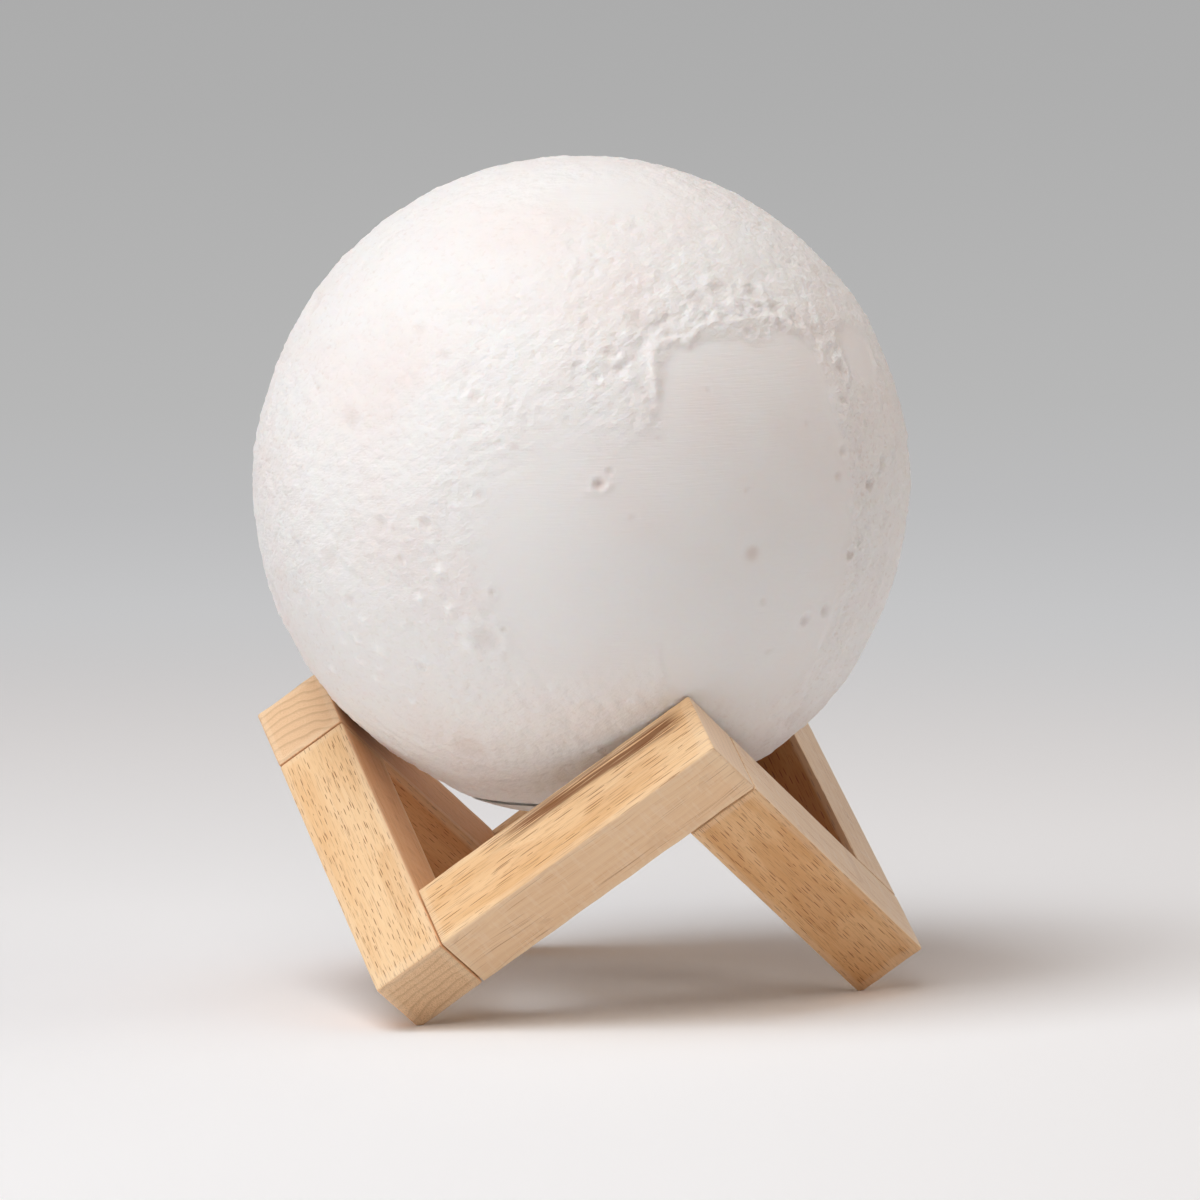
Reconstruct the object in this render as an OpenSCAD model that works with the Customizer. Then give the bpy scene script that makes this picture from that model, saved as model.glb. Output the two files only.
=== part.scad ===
// Moon lamp: a thin printed globe with the relief of the moon, lying loose in a stand of six square
// wooden bars. Millimetres, +Z up. The origin is on the table, under the middle of the globe.

/* [Stand] */
// Length of each square bar
bar_len = 76; // [74:0.5:80]
// Side of a bar's square section
bar_w = 18; // [16:0.5:20]
// Radius that eases the edges of the bars
edge_r = 0.8; // [0.3:0.1:1]
// Height sanded off each corner that stands on the table
foot_cut = 0.9; // [0.6:0.1:1.5]
// Turn of the stand about the vertical
stand_turn = 52; // [0:1:119]
// Diameter of the dowel hidden in each joint
dowel_d = 6; // [4:0.5:8]
// Length of a dowel
dowel_len = 20; // [12:1:24]
// Gap all round a dowel in its bore
dowel_gap = 0.05; // [0.02:0.01:0.1]
// Room left past each end of a dowel
dowel_end_gap = 0.3; // [0.2:0.1:1]

/* [Globe] */
// Diameter of the globe over its highest smooth ground
globe_d = 150; // [146:1:154]
// Thickness of the printed wall
globe_wall = 2; // [1.8:0.1:3]
// Diameter of the round opening in the bottom of the globe
opening_d = 50; // [49:0.5:56]
// Gap between the globe and the bars that carry it
seat_gap = 0.2; // [0.1:0.05:0.4]
// Depth of the wide basins below the highlands
basin_depth = 0.6; // [0.3:0.05:0.8]
// Depth of a crater's dish as a share of the crater's radius
dish_ratio = 0.14; // [0.1:0.01:0.16]
// Height of the raised rims round the larger craters
rim_h = 0.3; // [0.15:0.05:0.4]
// Thickness of the ridge of ground that makes a raised rim
rim_tube_r = 1.1; // [0.8:0.1:1.4]
// Height of the ridges that border the basins
ridge_h = 0.4; // [0.2:0.05:0.5]
// Thickness of the ground that makes a ridge
ridge_tube_r = 1.7; // [1.4:0.1:1.8]
// Height of the peak in the middle of a large crater
peak_h = 0.4; // [0.2:0.05:0.5]
// Number of small craters strewn by rule over the half that faces away
strewn_craters = 30; // [0:1:40]

/* [Base cap] */
// Radius of the flat that the globe can stand on
flat_r = 20; // [19.5:0.5:21.5]
// Width of the flange that laps over the edge of the opening
flange_lap = 2; // [1:0.5:4]
// Thickness of the flange
flange_t = 0.8; // [0.6:0.1:1.5]
// Gap between the flange and the globe
flange_gap = 0.1; // [0.05:0.05:0.3]
// Thickness of the cap's floor
floor_t = 2; // [1.8:0.1:2.4]
// Wall of the skirt that fits the opening
skirt_wall = 2; // [1.5:0.1:2.2]
// Height of the skirt above the floor
skirt_h = 11; // [9:0.5:13]
// Gap between the skirt and the opening
skirt_gap = 0.4; // [0.2:0.1:0.6]
// Number of catches that hold the cap in the opening
catch_count = 3; // [2:1:6]
// How far a catch reaches past the skirt
catch_reach = 1.2; // [0.8:0.1:1.6]
// Width of a catch
catch_w = 6; // [4:0.5:8]
// Height of a catch
catch_h = 1.6; // [1:0.1:2.4]

/* [Controls] */
// Diameter of the power button
button_d = 8.6; // [7:0.2:9]
// Travel of the button
button_travel = 1; // [0.6:0.1:1.2]
// Gap round the button in its hole
button_gap = 0.2; // [0.1:0.05:0.3]
// Depth that the button lies inside the flat
button_recess = 0.5; // [0.3:0.1:0.8]
// Distance of the button and of the socket from the middle of the cap
control_x = 7; // [6.6:0.1:7.4]
// Side of the switch's square body
switch_w = 6; // [5:0.5:7]
// Height of the switch's body
switch_h = 3.4; // [3:0.1:3.6]
// Diameter of the switch's plunger
plunger_d = 2.4; // [2:0.1:3]
// Inner diameter of the touch ring
touch_ring_id = 29; // [28:0.5:30]
// Outer diameter of the touch ring
touch_ring_od = 36; // [34:0.5:37]
// Thickness of the touch ring
touch_ring_t = 0.8; // [0.5:0.1:1]
// Diameter of the sprung pin that meets the touch ring
contact_d = 1.6; // [1:0.1:2]
// Long side of the charging socket's shell
socket_w = 8.9; // [8:0.1:9.4]
// Short side of the charging socket's shell
socket_t = 3.2; // [2.8:0.1:3.4]
// Sheet thickness of the socket's shell
socket_sheet = 0.3; // [0.2:0.05:0.4]
// Diameter of the light pipe beside the socket
pipe_d = 2; // [1.5:0.1:3]

/* [Electronics] */
// Height of the control board above the cap's floor
board_lift = 6.1; // [6:0.1:7]
// Thickness of the control board
board_t = 1.2; // [0.8:0.1:1.6]
// Height of the battery tray above the control board
tray_lift = 5.8; // [5:0.1:8]
// Thickness of the battery tray
tray_t = 2; // [1.5:0.1:3]
// Length of the battery cell
cell_len = 34; // [30:1:34]
// Width of the battery cell
cell_w = 18; // [15:1:18]
// Thickness of the battery cell
cell_t = 7; // [5:0.5:9]
// Thickness of the foam pad under the cell
pad_t = 0.8; // [0.5:0.1:1.5]
// Radius of a tray screw's shank
screw_r = 1.1; // [0.9:0.05:1.2]
// Radius of the posts that the tray screws go into
post_r = 2.6; // [2.2:0.1:2.8]
// Radius of the inner wires
lead_r = 0.6; // [0.4:0.05:0.7]

/* [Light] */
// Depth of the light board below the middle of the globe
light_drop = 12; // [6:1:18]
// Outer radius of the pillar at its foot
pillar_foot_r = 10; // [9:0.5:11]
// Outer radius of the pillar at its top
pillar_top_r = 8; // [7:0.5:9]
// Wall of the pillar
pillar_wall = 1.5; // [1:0.1:2]
// Radius of the light board
led_board_r = 12; // [11:0.5:13]
// Thickness of the light board
led_board_t = 1.2; // [0.8:0.1:1.6]
// Number of light-emitting chips in the ring
led_count = 6; // [4:2:8]
// Wall of the frosted dome
dome_wall = 1.2; // [0.8:0.1:1.6]
// Radius of the screws that hold the light board and the pillar
small_screw_r = 0.8; // [0.6:0.05:0.9]
// Length of a pillar screw inside its leg
pillar_grip = 4; // [3:0.5:6]

/* [Hidden] */
$fn = 64;
// Finer rounding for the globe, so that shallow dishes cut it cleanly
globe_fn = 180;
// A length past the whole object, for cuts that go right through
through = 400;
// A small overlap for cuts, so that no skin is left
eps = 0.5;
// Usual gap between inner pieces that lie beside each other
part_gap = 0.3;

// Stand: the bars follow six edges of a cube whose diagonal stands upright
diagonal = [1, 1, 1];
diagonal_tilt = acos(1 / sqrt(3));
bar_axis = bar_len / 2;
corner_near = bar_axis - bar_w / 2;
corner_far = bar_axis + bar_w / 2;
corner_height = 2 * corner_far - corner_near;
stand_z = corner_height / sqrt(3) - foot_cut;

// Globe: it lies on the flat inner face of each seat bar, or on the bar's upper corner if it is wider
globe_r = globe_d / 2;
inner_r = globe_r - globe_wall;
seat_r = globe_r + seat_gap;
face_seat = seat_r - corner_near;
corner_root = pow(corner_height, 2) - 3 * (2 * pow(corner_far, 2) + pow(corner_near, 2) - pow(seat_r, 2));
corner_seat = (corner_height + sqrt(max(0, corner_root))) / 3;
globe_z = stand_z + sqrt(3) * (face_seat <= corner_far ? face_seat : corner_seat);
opening_r = opening_d / 2;

// Wide basins: longitude from the front towards +X, latitude, radius in degrees of arc
basins = [
    [-3, -7, 24], [32, 8, 21], [10, 62, 15], [100, -20, 20], [-110, 20, 25], [160, 10, 22], [-160, -28, 17]
];
// Craters placed by eye: longitude, latitude, radius in degrees of arc
placed_craters = [
    [6, 30, 2.2], [13, 35, 2.8], [20, 34, 2], [28, 40, 3], [36, 39, 2.4], [43, 38, 3.2], [52, 33, 3.4],
    [59, 27, 3], [60, 20, 2.4], [67, 8, 2.2], [61, 1, 1.8], [47, -20, 2.6], [53, -17, 2], [36, -16, 1.8],
    [31, -7, 1.6], [40, -27, 2], [3, 6, 1.6], [-18, -24, 3.2], [-45, -21, 2.4], [-26, -12, 1.8],
    [-36, 33, 3], [-47, 15, 2.6], [-21, 46, 3.4], [-51, -8, 2.2], [-20, 24, 1.8], [25, 66, 2.6],
    [96, 32, 4.4], [130, 44, 3.6], [-140, 50, 4.2], [-78, -18, 4], [175, -44, 4.6], [128, -8, 3.4],
    [-100, 55, 3.2], [60, -44, 3.6], [-30, -48, 3.8], [-75, 35, 2.8]
];
// Craters at least this many degrees of arc in radius have a raised rim and a peak
rimmed_from = 3.1;
peak_r = 1.3;
// Ridges: longitude, latitude and radius of the circle that each follows, then its first bearing and its
// length in degrees, turning from south through east
ridges = [
    [32, 8, 22, 112, 128], [-3, -7, 25, 196, 74], [-3, -7, 25, 20, 46], [100, -20, 21, 150, 130],
    [-110, 20, 26, 40, 120], [160, 10, 23, 200, 110], [-160, -28, 18, 120, 130]
];
// The strewn craters fill this stretch of longitude and start at this latitude
strewn_first_lon = 85;
strewn_lon_span = 190;
strewn_lowest = -45;
golden_share = 0.618034;

// Base cap, measured from the middle of the globe
dome_r = globe_r + flange_gap + flange_t;
cap_z = -sqrt(pow(dome_r, 2) - pow(flat_r, 2));
flange_r = opening_r + flange_lap;
skirt_r = opening_r - skirt_gap;
pocket_r = skirt_r - skirt_wall;
floor_z = cap_z + floor_t;
catch_r = skirt_r + catch_reach;
catch_gap = 0.3;
catch_z = -sqrt(pow(inner_r, 2) - pow(catch_r + catch_gap, 2));

// Controls in the cap's floor
ring_gap = 0.1;
touch_ring_r = (touch_ring_id + touch_ring_od) / 4;
button_flange_lap = 0.8;
button_flange_h = 0.8;
button_rise = 0.1;
button_stem_d = 3;
plunger_out = 1.2;
plunger_in = 0.8;
plunger_gap = 0.1;
socket_recess = 0.8;
socket_round = 1.3;
socket_gap = 0.2;
tongue_t = 0.7;
tongue_w = socket_w - 2.2;
tongue_h = 4;
pipe_y = 9.5;
pipe_end_gap = 0.3;

// Inner stack, from the floor upwards
board_r = pocket_r - part_gap;
board_z = floor_z + board_lift;
board_top = board_z + board_t;
tray_z = board_top + tray_lift;
tray_top = tray_z + tray_t;
cell_z = tray_top + pad_t;
cell_top = cell_z + cell_t;
foot_gap = 0.5;
foot_z = cell_top + foot_gap;
led_z = -light_drop;
post_ring = board_r - post_r - 1;
post_turns = [60, 120, 240, 300];
post_floor = 1;
shank_gap = 0.05;
hole_gap = 0.2;

// Battery tray and inner wires
tray_rib = 1.2;
tray_rib_h = 5;
cell_side = cell_w / 2 + part_gap + tray_rib;
cell_end = cell_len / 2 + part_gap + tray_rib;
cell_edge_r = 1.5;
notch_w = 5;
plug_size = [4, 5, 3];
plug_face_x = board_r - 6;
lead_x = cell_end + part_gap + lead_r;
lead_y = 1.5 * lead_r;
plug_lead_z = board_top + plug_size[2] / 2;
cell_lead_z = cell_z + 0.8 * cell_t;

// Parts on the control board: middle in X and Y, then width, depth and height
board_blocks = [[-6, 5, 5, 5, 1], [3, -7, 4, 4, 1], [-4, -8, 2.6, 1.8, 1.1], [9, -4, 3, 2.6, 1.2]];
coil_place = [6, 6];
coil_r = 3;
coil_h = 2.4;
capacitor_count = 5;
capacitor_size = [1.2, 2, 0.9];
capacitor_pitch = 2.4;
capacitor_y = 13;

// Light pillar, light board and dome
leg_t = 3;
leg_w = 12;
leg_y = cell_side + 0.2;
foot_plate_t = 2;
foot_plate_r = leg_y + leg_t + 0.8;
top_plate_t = 2;
flare_h = 5;
dome_inner_r = led_board_r + part_gap;
dome_outer_r = dome_inner_r + dome_wall;
dome_skirt_h = 3;
top_plate_r = dome_outer_r + 0.4;
chip_size = [3, 2.8, 0.8];
chip_ring = 0.58 * led_board_r;
led_screw_x = led_board_r - 2.2;
lead_way_r = 2.4;
lead_turn_z = foot_z + foot_plate_t + 3;
screw_end_gap = 1;

// ---------------------------------------------------------------- shared shapes

// What an eased corner loses: the square past the round, on the side that outward points to
module corner_waste(corner, outward, r) {
    side = r + eps;
    centre = corner - r * outward;
    difference() {
        translate([centre[0] + side * min(0, outward[0]), centre[1] + side * min(0, outward[1])])
            square(side);
        translate(centre) circle(r);
    }
}

// Rectangle between two corners, eased at its high-X corners and, if low_too, at its low-X ones
module eased_rect(low, high, r, low_too = true) {
    difference() {
        translate(low) square(high - low);
        corner_waste(high, [1, 1], r);
        corner_waste([high[0], low[1]], [1, -1], r);
        if (low_too) {
            corner_waste(low, [-1, -1], r);
            corner_waste([low[0], high[1]], [-1, 1], r);
        }
    }
}

// Block standing on the XY plane, centred on the Z axis
module block(size) {
    translate([-size[0] / 2, -size[1] / 2, 0]) cube(size);
}

// Ring with a flat top and bottom
module ring(outer_r, inner_r, h) {
    difference() {
        cylinder(r = outer_r, h = h);
        translate([0, 0, -eps]) cylinder(r = inner_r, h = h + 2 * eps);
    }
}

// Straight rod between two points
module rod(a, b, r) {
    d = b - a;
    translate(a)
        rotate([0, acos(d[2] / norm(d)), atan2(d[1], d[0])])
            cylinder(r = r, h = norm(d), $fn = 24);
}

// Round wire that bends at its inner points
module wire(points, r) {
    for (i = [0 : len(points) - 2]) rod(points[i], points[i + 1], r);
    for (i = [1 : len(points) - 2]) translate(points[i]) sphere(r, $fn = 24);
}

// Cross-slotted screw: the underside of its head is on the XY plane and its shank goes down
module screw(shank_r, shank_len) {
    head_r = 2 * shank_r;
    head_h = 1.2 * shank_r;
    slot = [0.5 * shank_r, 2.4 * shank_r, head_h];
    translate([0, 0, -shank_len]) cylinder(r = shank_r, h = shank_len + head_h / 2);
    difference() {
        cylinder(r = head_r, h = head_h);
        for (turn = [0, 90]) rotate(turn) translate([0, 0, head_h / 2]) block(slot);
    }
}

// Lifts its children from the middle of the globe to their place above the table
module in_globe() {
    translate([0, 0, globe_z]) children();
}

// Places its children over each post of the base cap
module at_posts() {
    for (turn = post_turns) rotate(turn) translate([post_ring, 0, 0]) children();
}

// Points the Z axis of its children out of the globe at a longitude and a latitude
module on_globe(lon, lat) {
    rotate([0, 90 - lat, lon - 90]) children();
}

// ---------------------------------------------------------------- stand

// Stands the cube that the bars follow on its corner
module on_corner() {
    translate([0, 0, stand_z])
        rotate(stand_turn)
            rotate([0, -diagonal_tilt, 0])
                rotate(-45)
                    children();
}

// Bar along +X from its butt end, with its long edges and its free end eased
module plain_bar() {
    half = bar_w / 2;
    start = -corner_near;
    intersection() {
        translate([start, 0, 0]) rotate([90, 0, 90])
            linear_extrude(bar_len) eased_rect([-half, -half], [half, half], edge_r);
        translate([0, 0, -half]) linear_extrude(bar_w)
            eased_rect([start, -half], [start + bar_len, half], edge_r, false);
        rotate([90, 0, 0]) translate([0, 0, -half]) linear_extrude(bar_w)
            eased_rect([start, -half], [start + bar_len, half], edge_r, false);
    }
}

// Round bar along X, halfway through the joint at the origin
module joint_pin(r, len) {
    translate([-len / 2, 0, 0]) rotate([0, 90, 0]) cylinder(r = r, h = len);
}

// Puts its children at the butt end of the first seat bar
module at_seat_joint() {
    translate([-corner_near, -bar_axis, bar_axis]) children();
}

// Puts its children at the butt end of the first leg bar
module at_leg_joint() {
    translate([-bar_axis, corner_near, bar_axis]) rotate(90) children();
}

module dowel_bore() {
    joint_pin(dowel_d / 2 + dowel_gap, dowel_len + 2 * dowel_end_gap);
}

// Bar that rises to a free end beside the globe
module seat_bar(i) {
    color("burlywood") on_corner() rotate(a = 120 * i, v = diagonal) difference() {
        translate([0, -bar_axis, bar_axis]) plain_bar();
        at_seat_joint() dowel_bore();
        rotate(a = 120, v = diagonal) at_leg_joint() dowel_bore();
    }
}

// Bar that falls to a free end on the table, where its lowest corner is sanded flat
module leg_bar(i) {
    color("tan") difference() {
        on_corner() rotate(a = 120 * i, v = diagonal) difference() {
            translate([-bar_axis, 0, bar_axis]) rotate(-90) plain_bar();
            at_leg_joint() dowel_bore();
            at_seat_joint() dowel_bore();
        }
        translate([-through / 2, -through / 2, -through]) cube(through);
    }
}

module stand_dowels() {
    color("wheat") on_corner() for (i = [0 : 2]) rotate(a = 120 * i, v = diagonal) {
        at_seat_joint() joint_pin(dowel_d / 2, dowel_len);
        at_leg_joint() joint_pin(dowel_d / 2, dowel_len);
    }
}

// ---------------------------------------------------------------- globe

// Unit vector at a longitude and a latitude
function toward(lon, lat) = [cos(lat) * sin(lon), -cos(lat) * cos(lon), sin(lat)];

// A basin is ground shaved by a larger ball: its fall at the middle, its radius and its middle's offset
function basin_fall(b) = globe_r * (1 - cos(b[2])) - basin_depth;
function basin_ball_r(b) = (pow(globe_r * sin(b[2]), 2) + pow(basin_fall(b), 2)) / (2 * basin_fall(b));
function basin_offset(b) = globe_r - basin_depth - basin_ball_r(b);

// Radius of the ground under a direction, with the basins in it
function basin_ground(b, n) = let (c = basin_offset(b), along = n * toward(b[0], b[1]))
    c * along + sqrt(pow(basin_ball_r(b), 2) - c * c * (1 - along * along));
function ground_r(n) = min([globe_r, for (b = basins) basin_ground(b, n)]);

// Strewn craters: a golden spiral gives their places and a second one their sizes
function share(x) = x - floor(x);
function strewn_crater(i) = let (t = (i + 0.5) / strewn_craters, low = sin(strewn_lowest))
    [
        strewn_first_lon + strewn_lon_span * share(i * golden_share),
        asin(low + (1 - low) * t),
        1.4 + 1.8 * share(0.5 + i * pow(golden_share, 2) * 1.7)
    ];
craters = concat(placed_craters, [for (i = [0 : 1 : strewn_craters - 1]) strewn_crater(i)]);

// Ball that shaves a basin out of the globe
module basin_ball(b) {
    on_globe(b[0], b[1]) translate([0, 0, basin_offset(b)]) sphere(basin_ball_r(b), $fn = globe_fn);
}

// Shallow dish of a crater, cut by a ball that stands on its floor
module crater_dish(c) {
    ground = ground_r(toward(c[0], c[1]));
    half_width = ground * sin(c[2]);
    dish = dish_ratio * half_width;
    ball_r = (pow(half_width, 2) + pow(dish, 2)) / (2 * dish);
    on_globe(c[0], c[1]) translate([0, 0, ground * cos(c[2]) - dish + ball_r]) sphere(ball_r);
}

// Ridge of ground round a crater, sunk so that only its back stands proud
module crater_rim(c) {
    ground = ground_r(toward(c[0], c[1]));
    on_globe(c[0], c[1])
        translate([0, 0, ground * cos(c[2]) + rim_h - rim_tube_r])
            rotate_extrude() translate([ground * sin(c[2]), 0]) circle(rim_tube_r, $fn = 32);
}

// Low ridge along part of a circle on the globe
module ridge(r) {
    back_r = globe_r + ridge_h - ridge_tube_r;
    on_globe(r[0], r[1]) rotate(r[3]) translate([0, 0, back_r * cos(r[2])])
        rotate_extrude(angle = r[4]) translate([back_r * sin(r[2]), 0]) circle(ridge_tube_r, $fn = 32);
}

// Peak in the middle of a large crater, sunk in its floor
module crater_peak(c) {
    ground = ground_r(toward(c[0], c[1]));
    dish = dish_ratio * ground * sin(c[2]);
    on_globe(c[0], c[1]) translate([0, 0, ground * cos(c[2]) - dish + peak_h - peak_r]) sphere(peak_r, $fn = 32);
}

module globe_shell() {
    large_craters = [for (c = placed_craters) if (c[2] >= rimmed_from) c];
    color("white") in_globe() difference() {
        union() {
            difference() {
                union() {
                    intersection() {
                        sphere(globe_r, $fn = globe_fn);
                        intersection_for (b = basins) basin_ball(b);
                    }
                    for (r = ridges) ridge(r);
                    for (c = large_craters) crater_rim(c);
                }
                for (c = craters) crater_dish(c);
            }
            for (c = large_craters) crater_peak(c);
        }
        sphere(inner_r, $fn = globe_fn);
        translate([0, 0, -through]) cylinder(r = opening_r, h = through);
    }
}

// ---------------------------------------------------------------- base cap and controls

// Outside of the cap: a shallow dome cut flat below, out to the flange
module cap_outside(r, h) {
    intersection() {
        sphere(dome_r, $fn = globe_fn);
        translate([0, 0, cap_z]) cylinder(r = r, h = h);
    }
}

// Catches round the skirt that spring out above the edge of the opening
module cap_catches() {
    for (i = [0 : catch_count - 1]) rotate(30 + i * 360 / catch_count)
        translate([0, 0, catch_z]) intersection() {
            ring(catch_r, pocket_r + skirt_wall / 2, catch_h);
            translate([catch_r / 2, 0, 0]) block([catch_r, catch_w, catch_h]);
        }
}

// Holes through the cap's floor for the button, the socket, the light pipe and the touch contact
module floor_holes() {
    translate([-control_x, 0, cap_z - eps]) cylinder(r = button_d / 2 + button_gap, h = floor_t + 2 * eps);
    translate([control_x, 0, cap_z - eps])
        socket_prism(socket_w + 2 * socket_gap, socket_t + 2 * socket_gap, floor_t + 2 * eps);
    translate([0, pipe_y, cap_z - eps]) cylinder(r = pipe_d / 2 + shank_gap, h = floor_t + 2 * eps);
    translate([0, -touch_ring_r, cap_z - eps]) cylinder(r = contact_d / 2 + hole_gap, h = floor_t + 2 * eps);
}

module base_cap() {
    color("whitesmoke") in_globe() difference() {
        union() {
            difference() {
                cap_outside(flange_r, globe_r);
                sphere(globe_r + flange_gap, $fn = globe_fn);
                translate([0, 0, -inner_r + globe_wall]) cylinder(r = flange_r + eps, h = 2 * globe_r);
            }
            difference() {
                cap_outside(skirt_r, floor_t + skirt_h);
                translate([0, 0, floor_z]) cylinder(r = pocket_r, h = skirt_h + eps);
            }
            cap_catches();
            translate([0, 0, floor_z - eps]) at_posts() cylinder(r = post_r, h = board_lift + eps);
        }
        translate([0, 0, floor_z + post_floor]) at_posts() cylinder(r = screw_r + shank_gap, h = board_lift);
        translate([0, 0, cap_z - eps])
            ring(touch_ring_od / 2 + ring_gap, touch_ring_id / 2 - ring_gap, touch_ring_t + eps);
        floor_holes();
    }
}

module touch_ring() {
    color("silver") in_globe() translate([0, 0, cap_z])
        ring(touch_ring_od / 2, touch_ring_id / 2, touch_ring_t);
}

// Sprung pin from the touch ring up to the control board
module touch_contact() {
    pin_h = board_z - cap_z - touch_ring_t;
    collar_h = 1;
    color("gold") in_globe() translate([0, -touch_ring_r, cap_z + touch_ring_t]) {
        cylinder(r = contact_d / 2, h = pin_h);
        translate([0, 0, pin_h - collar_h]) cylinder(r = contact_d, h = collar_h);
    }
}

// Upright prism with the rounded section of the charging socket
module socket_prism(w, t, h) {
    linear_extrude(h) eased_rect([-t / 2, -w / 2], [t / 2, w / 2], min(socket_round, t / 2 - 0.1));
}

module charge_port() {
    h = board_z - cap_z - socket_recess;
    color("silver") in_globe() translate([control_x, 0, cap_z + socket_recess]) difference() {
        socket_prism(socket_w, socket_t, h);
        translate([0, 0, -eps])
            socket_prism(socket_w - 2 * socket_sheet, socket_t - 2 * socket_sheet, h + 2 * eps);
    }
}

// Plastic core of the socket: a block under the board and a flat tongue towards the plug
module port_tongue() {
    inner_w = socket_w - 2 * socket_sheet - 0.1;
    inner_t = socket_t - 2 * socket_sheet - 0.1;
    block_h = board_z - cap_z - socket_recess - tongue_h - 1;
    color("dimgray") in_globe() translate([control_x, 0, board_z - block_h]) {
        socket_prism(inner_w, inner_t, block_h);
        translate([0, 0, -tongue_h]) block([tongue_t, tongue_w, tongue_h + eps]);
    }
}

module charge_light() {
    color("aliceblue") in_globe() translate([0, pipe_y, cap_z])
        cylinder(r = pipe_d / 2, h = board_z - cap_z - pipe_end_gap);
}

module power_button() {
    plunger_foot = board_z - switch_h - plunger_out;
    color("gainsboro") in_globe() translate([-control_x, 0, 0]) {
        translate([0, 0, cap_z + button_recess])
            cylinder(r = button_d / 2, h = floor_t - button_recess + button_rise);
        translate([0, 0, floor_z + button_rise])
            cylinder(r = button_d / 2 + button_gap + button_flange_lap, h = button_flange_h);
        translate([0, 0, floor_z + button_rise])
            cylinder(r = button_stem_d / 2, h = plunger_foot - floor_z - button_rise);
    }
}

module switch_plunger() {
    color("dimgray") in_globe() translate([-control_x, 0, board_z - switch_h - plunger_out])
        cylinder(r = plunger_d / 2, h = plunger_out + plunger_in);
}

module switch_body() {
    way_h = plunger_in + button_travel + part_gap;
    color("black") in_globe() translate([-control_x, 0, board_z - switch_h]) difference() {
        block([switch_w, switch_w, switch_h]);
        translate([0, 0, -eps]) cylinder(r = plunger_d / 2 + plunger_gap, h = way_h + eps);
    }
}

// ---------------------------------------------------------------- electronics

module control_board() {
    color("seagreen") in_globe() translate([0, 0, board_z]) difference() {
        cylinder(r = board_r, h = board_t);
        at_posts() translate([0, 0, -eps]) cylinder(r = screw_r + hole_gap, h = board_t + 2 * eps);
    }
}

module board_parts() {
    color("darkslategray") in_globe() translate([0, 0, board_top]) {
        for (b = board_blocks) translate([b[0], b[1], 0]) block([b[2], b[3], b[4]]);
        translate(coil_place) cylinder(r = coil_r, h = coil_h);
        for (i = [0 : capacitor_count - 1])
            translate([(i - (capacitor_count - 1) / 2) * capacitor_pitch, capacitor_y, 0]) block(capacitor_size);
        for (side = [-1, 1]) translate([side * (plug_face_x - plug_size[0] / 2), 0, 0]) block(plug_size);
    }
}

// Tray on four legs, with a low wall round the cell and notches for the wires
module battery_tray() {
    color("white") in_globe() difference() {
        union() {
            translate([0, 0, tray_z]) cylinder(r = board_r, h = tray_t);
            translate([0, 0, board_top]) at_posts() cylinder(r = post_r, h = tray_lift + eps);
            translate([0, 0, tray_top - eps]) block([2 * cell_end, 2 * cell_side, tray_rib_h + eps]);
        }
        translate([0, 0, tray_top])
            block([2 * (cell_end - tray_rib), 2 * (cell_side - tray_rib), tray_rib_h + eps]);
        translate([0, 0, board_top - eps])
            at_posts() cylinder(r = screw_r + hole_gap, h = tray_lift + tray_t + 2 * eps);
        for (side = [-1, 1]) {
            translate([side * (lead_x - lead_r - hole_gap + board_r), 0, tray_z - eps])
                block([2 * board_r, notch_w, tray_t + 2 * eps]);
            translate([0, side * (leg_y + leg_t / 2), tray_z - eps])
                cylinder(r = small_screw_r + hole_gap, h = tray_t + 2 * eps);
        }
    }
}

module battery_pad() {
    color("lightgray") in_globe() translate([0, 0, tray_top]) block([cell_len - 2, cell_w - 2, pad_t]);
}

// Pouch cell with rounded long edges
module battery_cell() {
    color("silver") in_globe() translate([-cell_len / 2, 0, cell_z + cell_t / 2]) rotate([90, 0, 90])
        linear_extrude(cell_len) eased_rect([-cell_w / 2, -cell_t / 2], [cell_w / 2, cell_t / 2], cell_edge_r);
}

// Pair of wires from the end of the cell down and into the side of its plug
module battery_leads() {
    color("red") in_globe() for (side = [-1, 1]) {
        y = side * lead_y;
        wire([
            [cell_len / 2, y, cell_lead_z], [lead_x, y, cell_lead_z],
            [lead_x, y, plug_lead_z], [plug_face_x, y, plug_lead_z]
        ], lead_r);
    }
}

module tray_screws() {
    color("silver") in_globe() translate([0, 0, tray_top]) at_posts()
        screw(screw_r, tray_top - floor_z - post_floor - part_gap);
}

// ---------------------------------------------------------------- light

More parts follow.
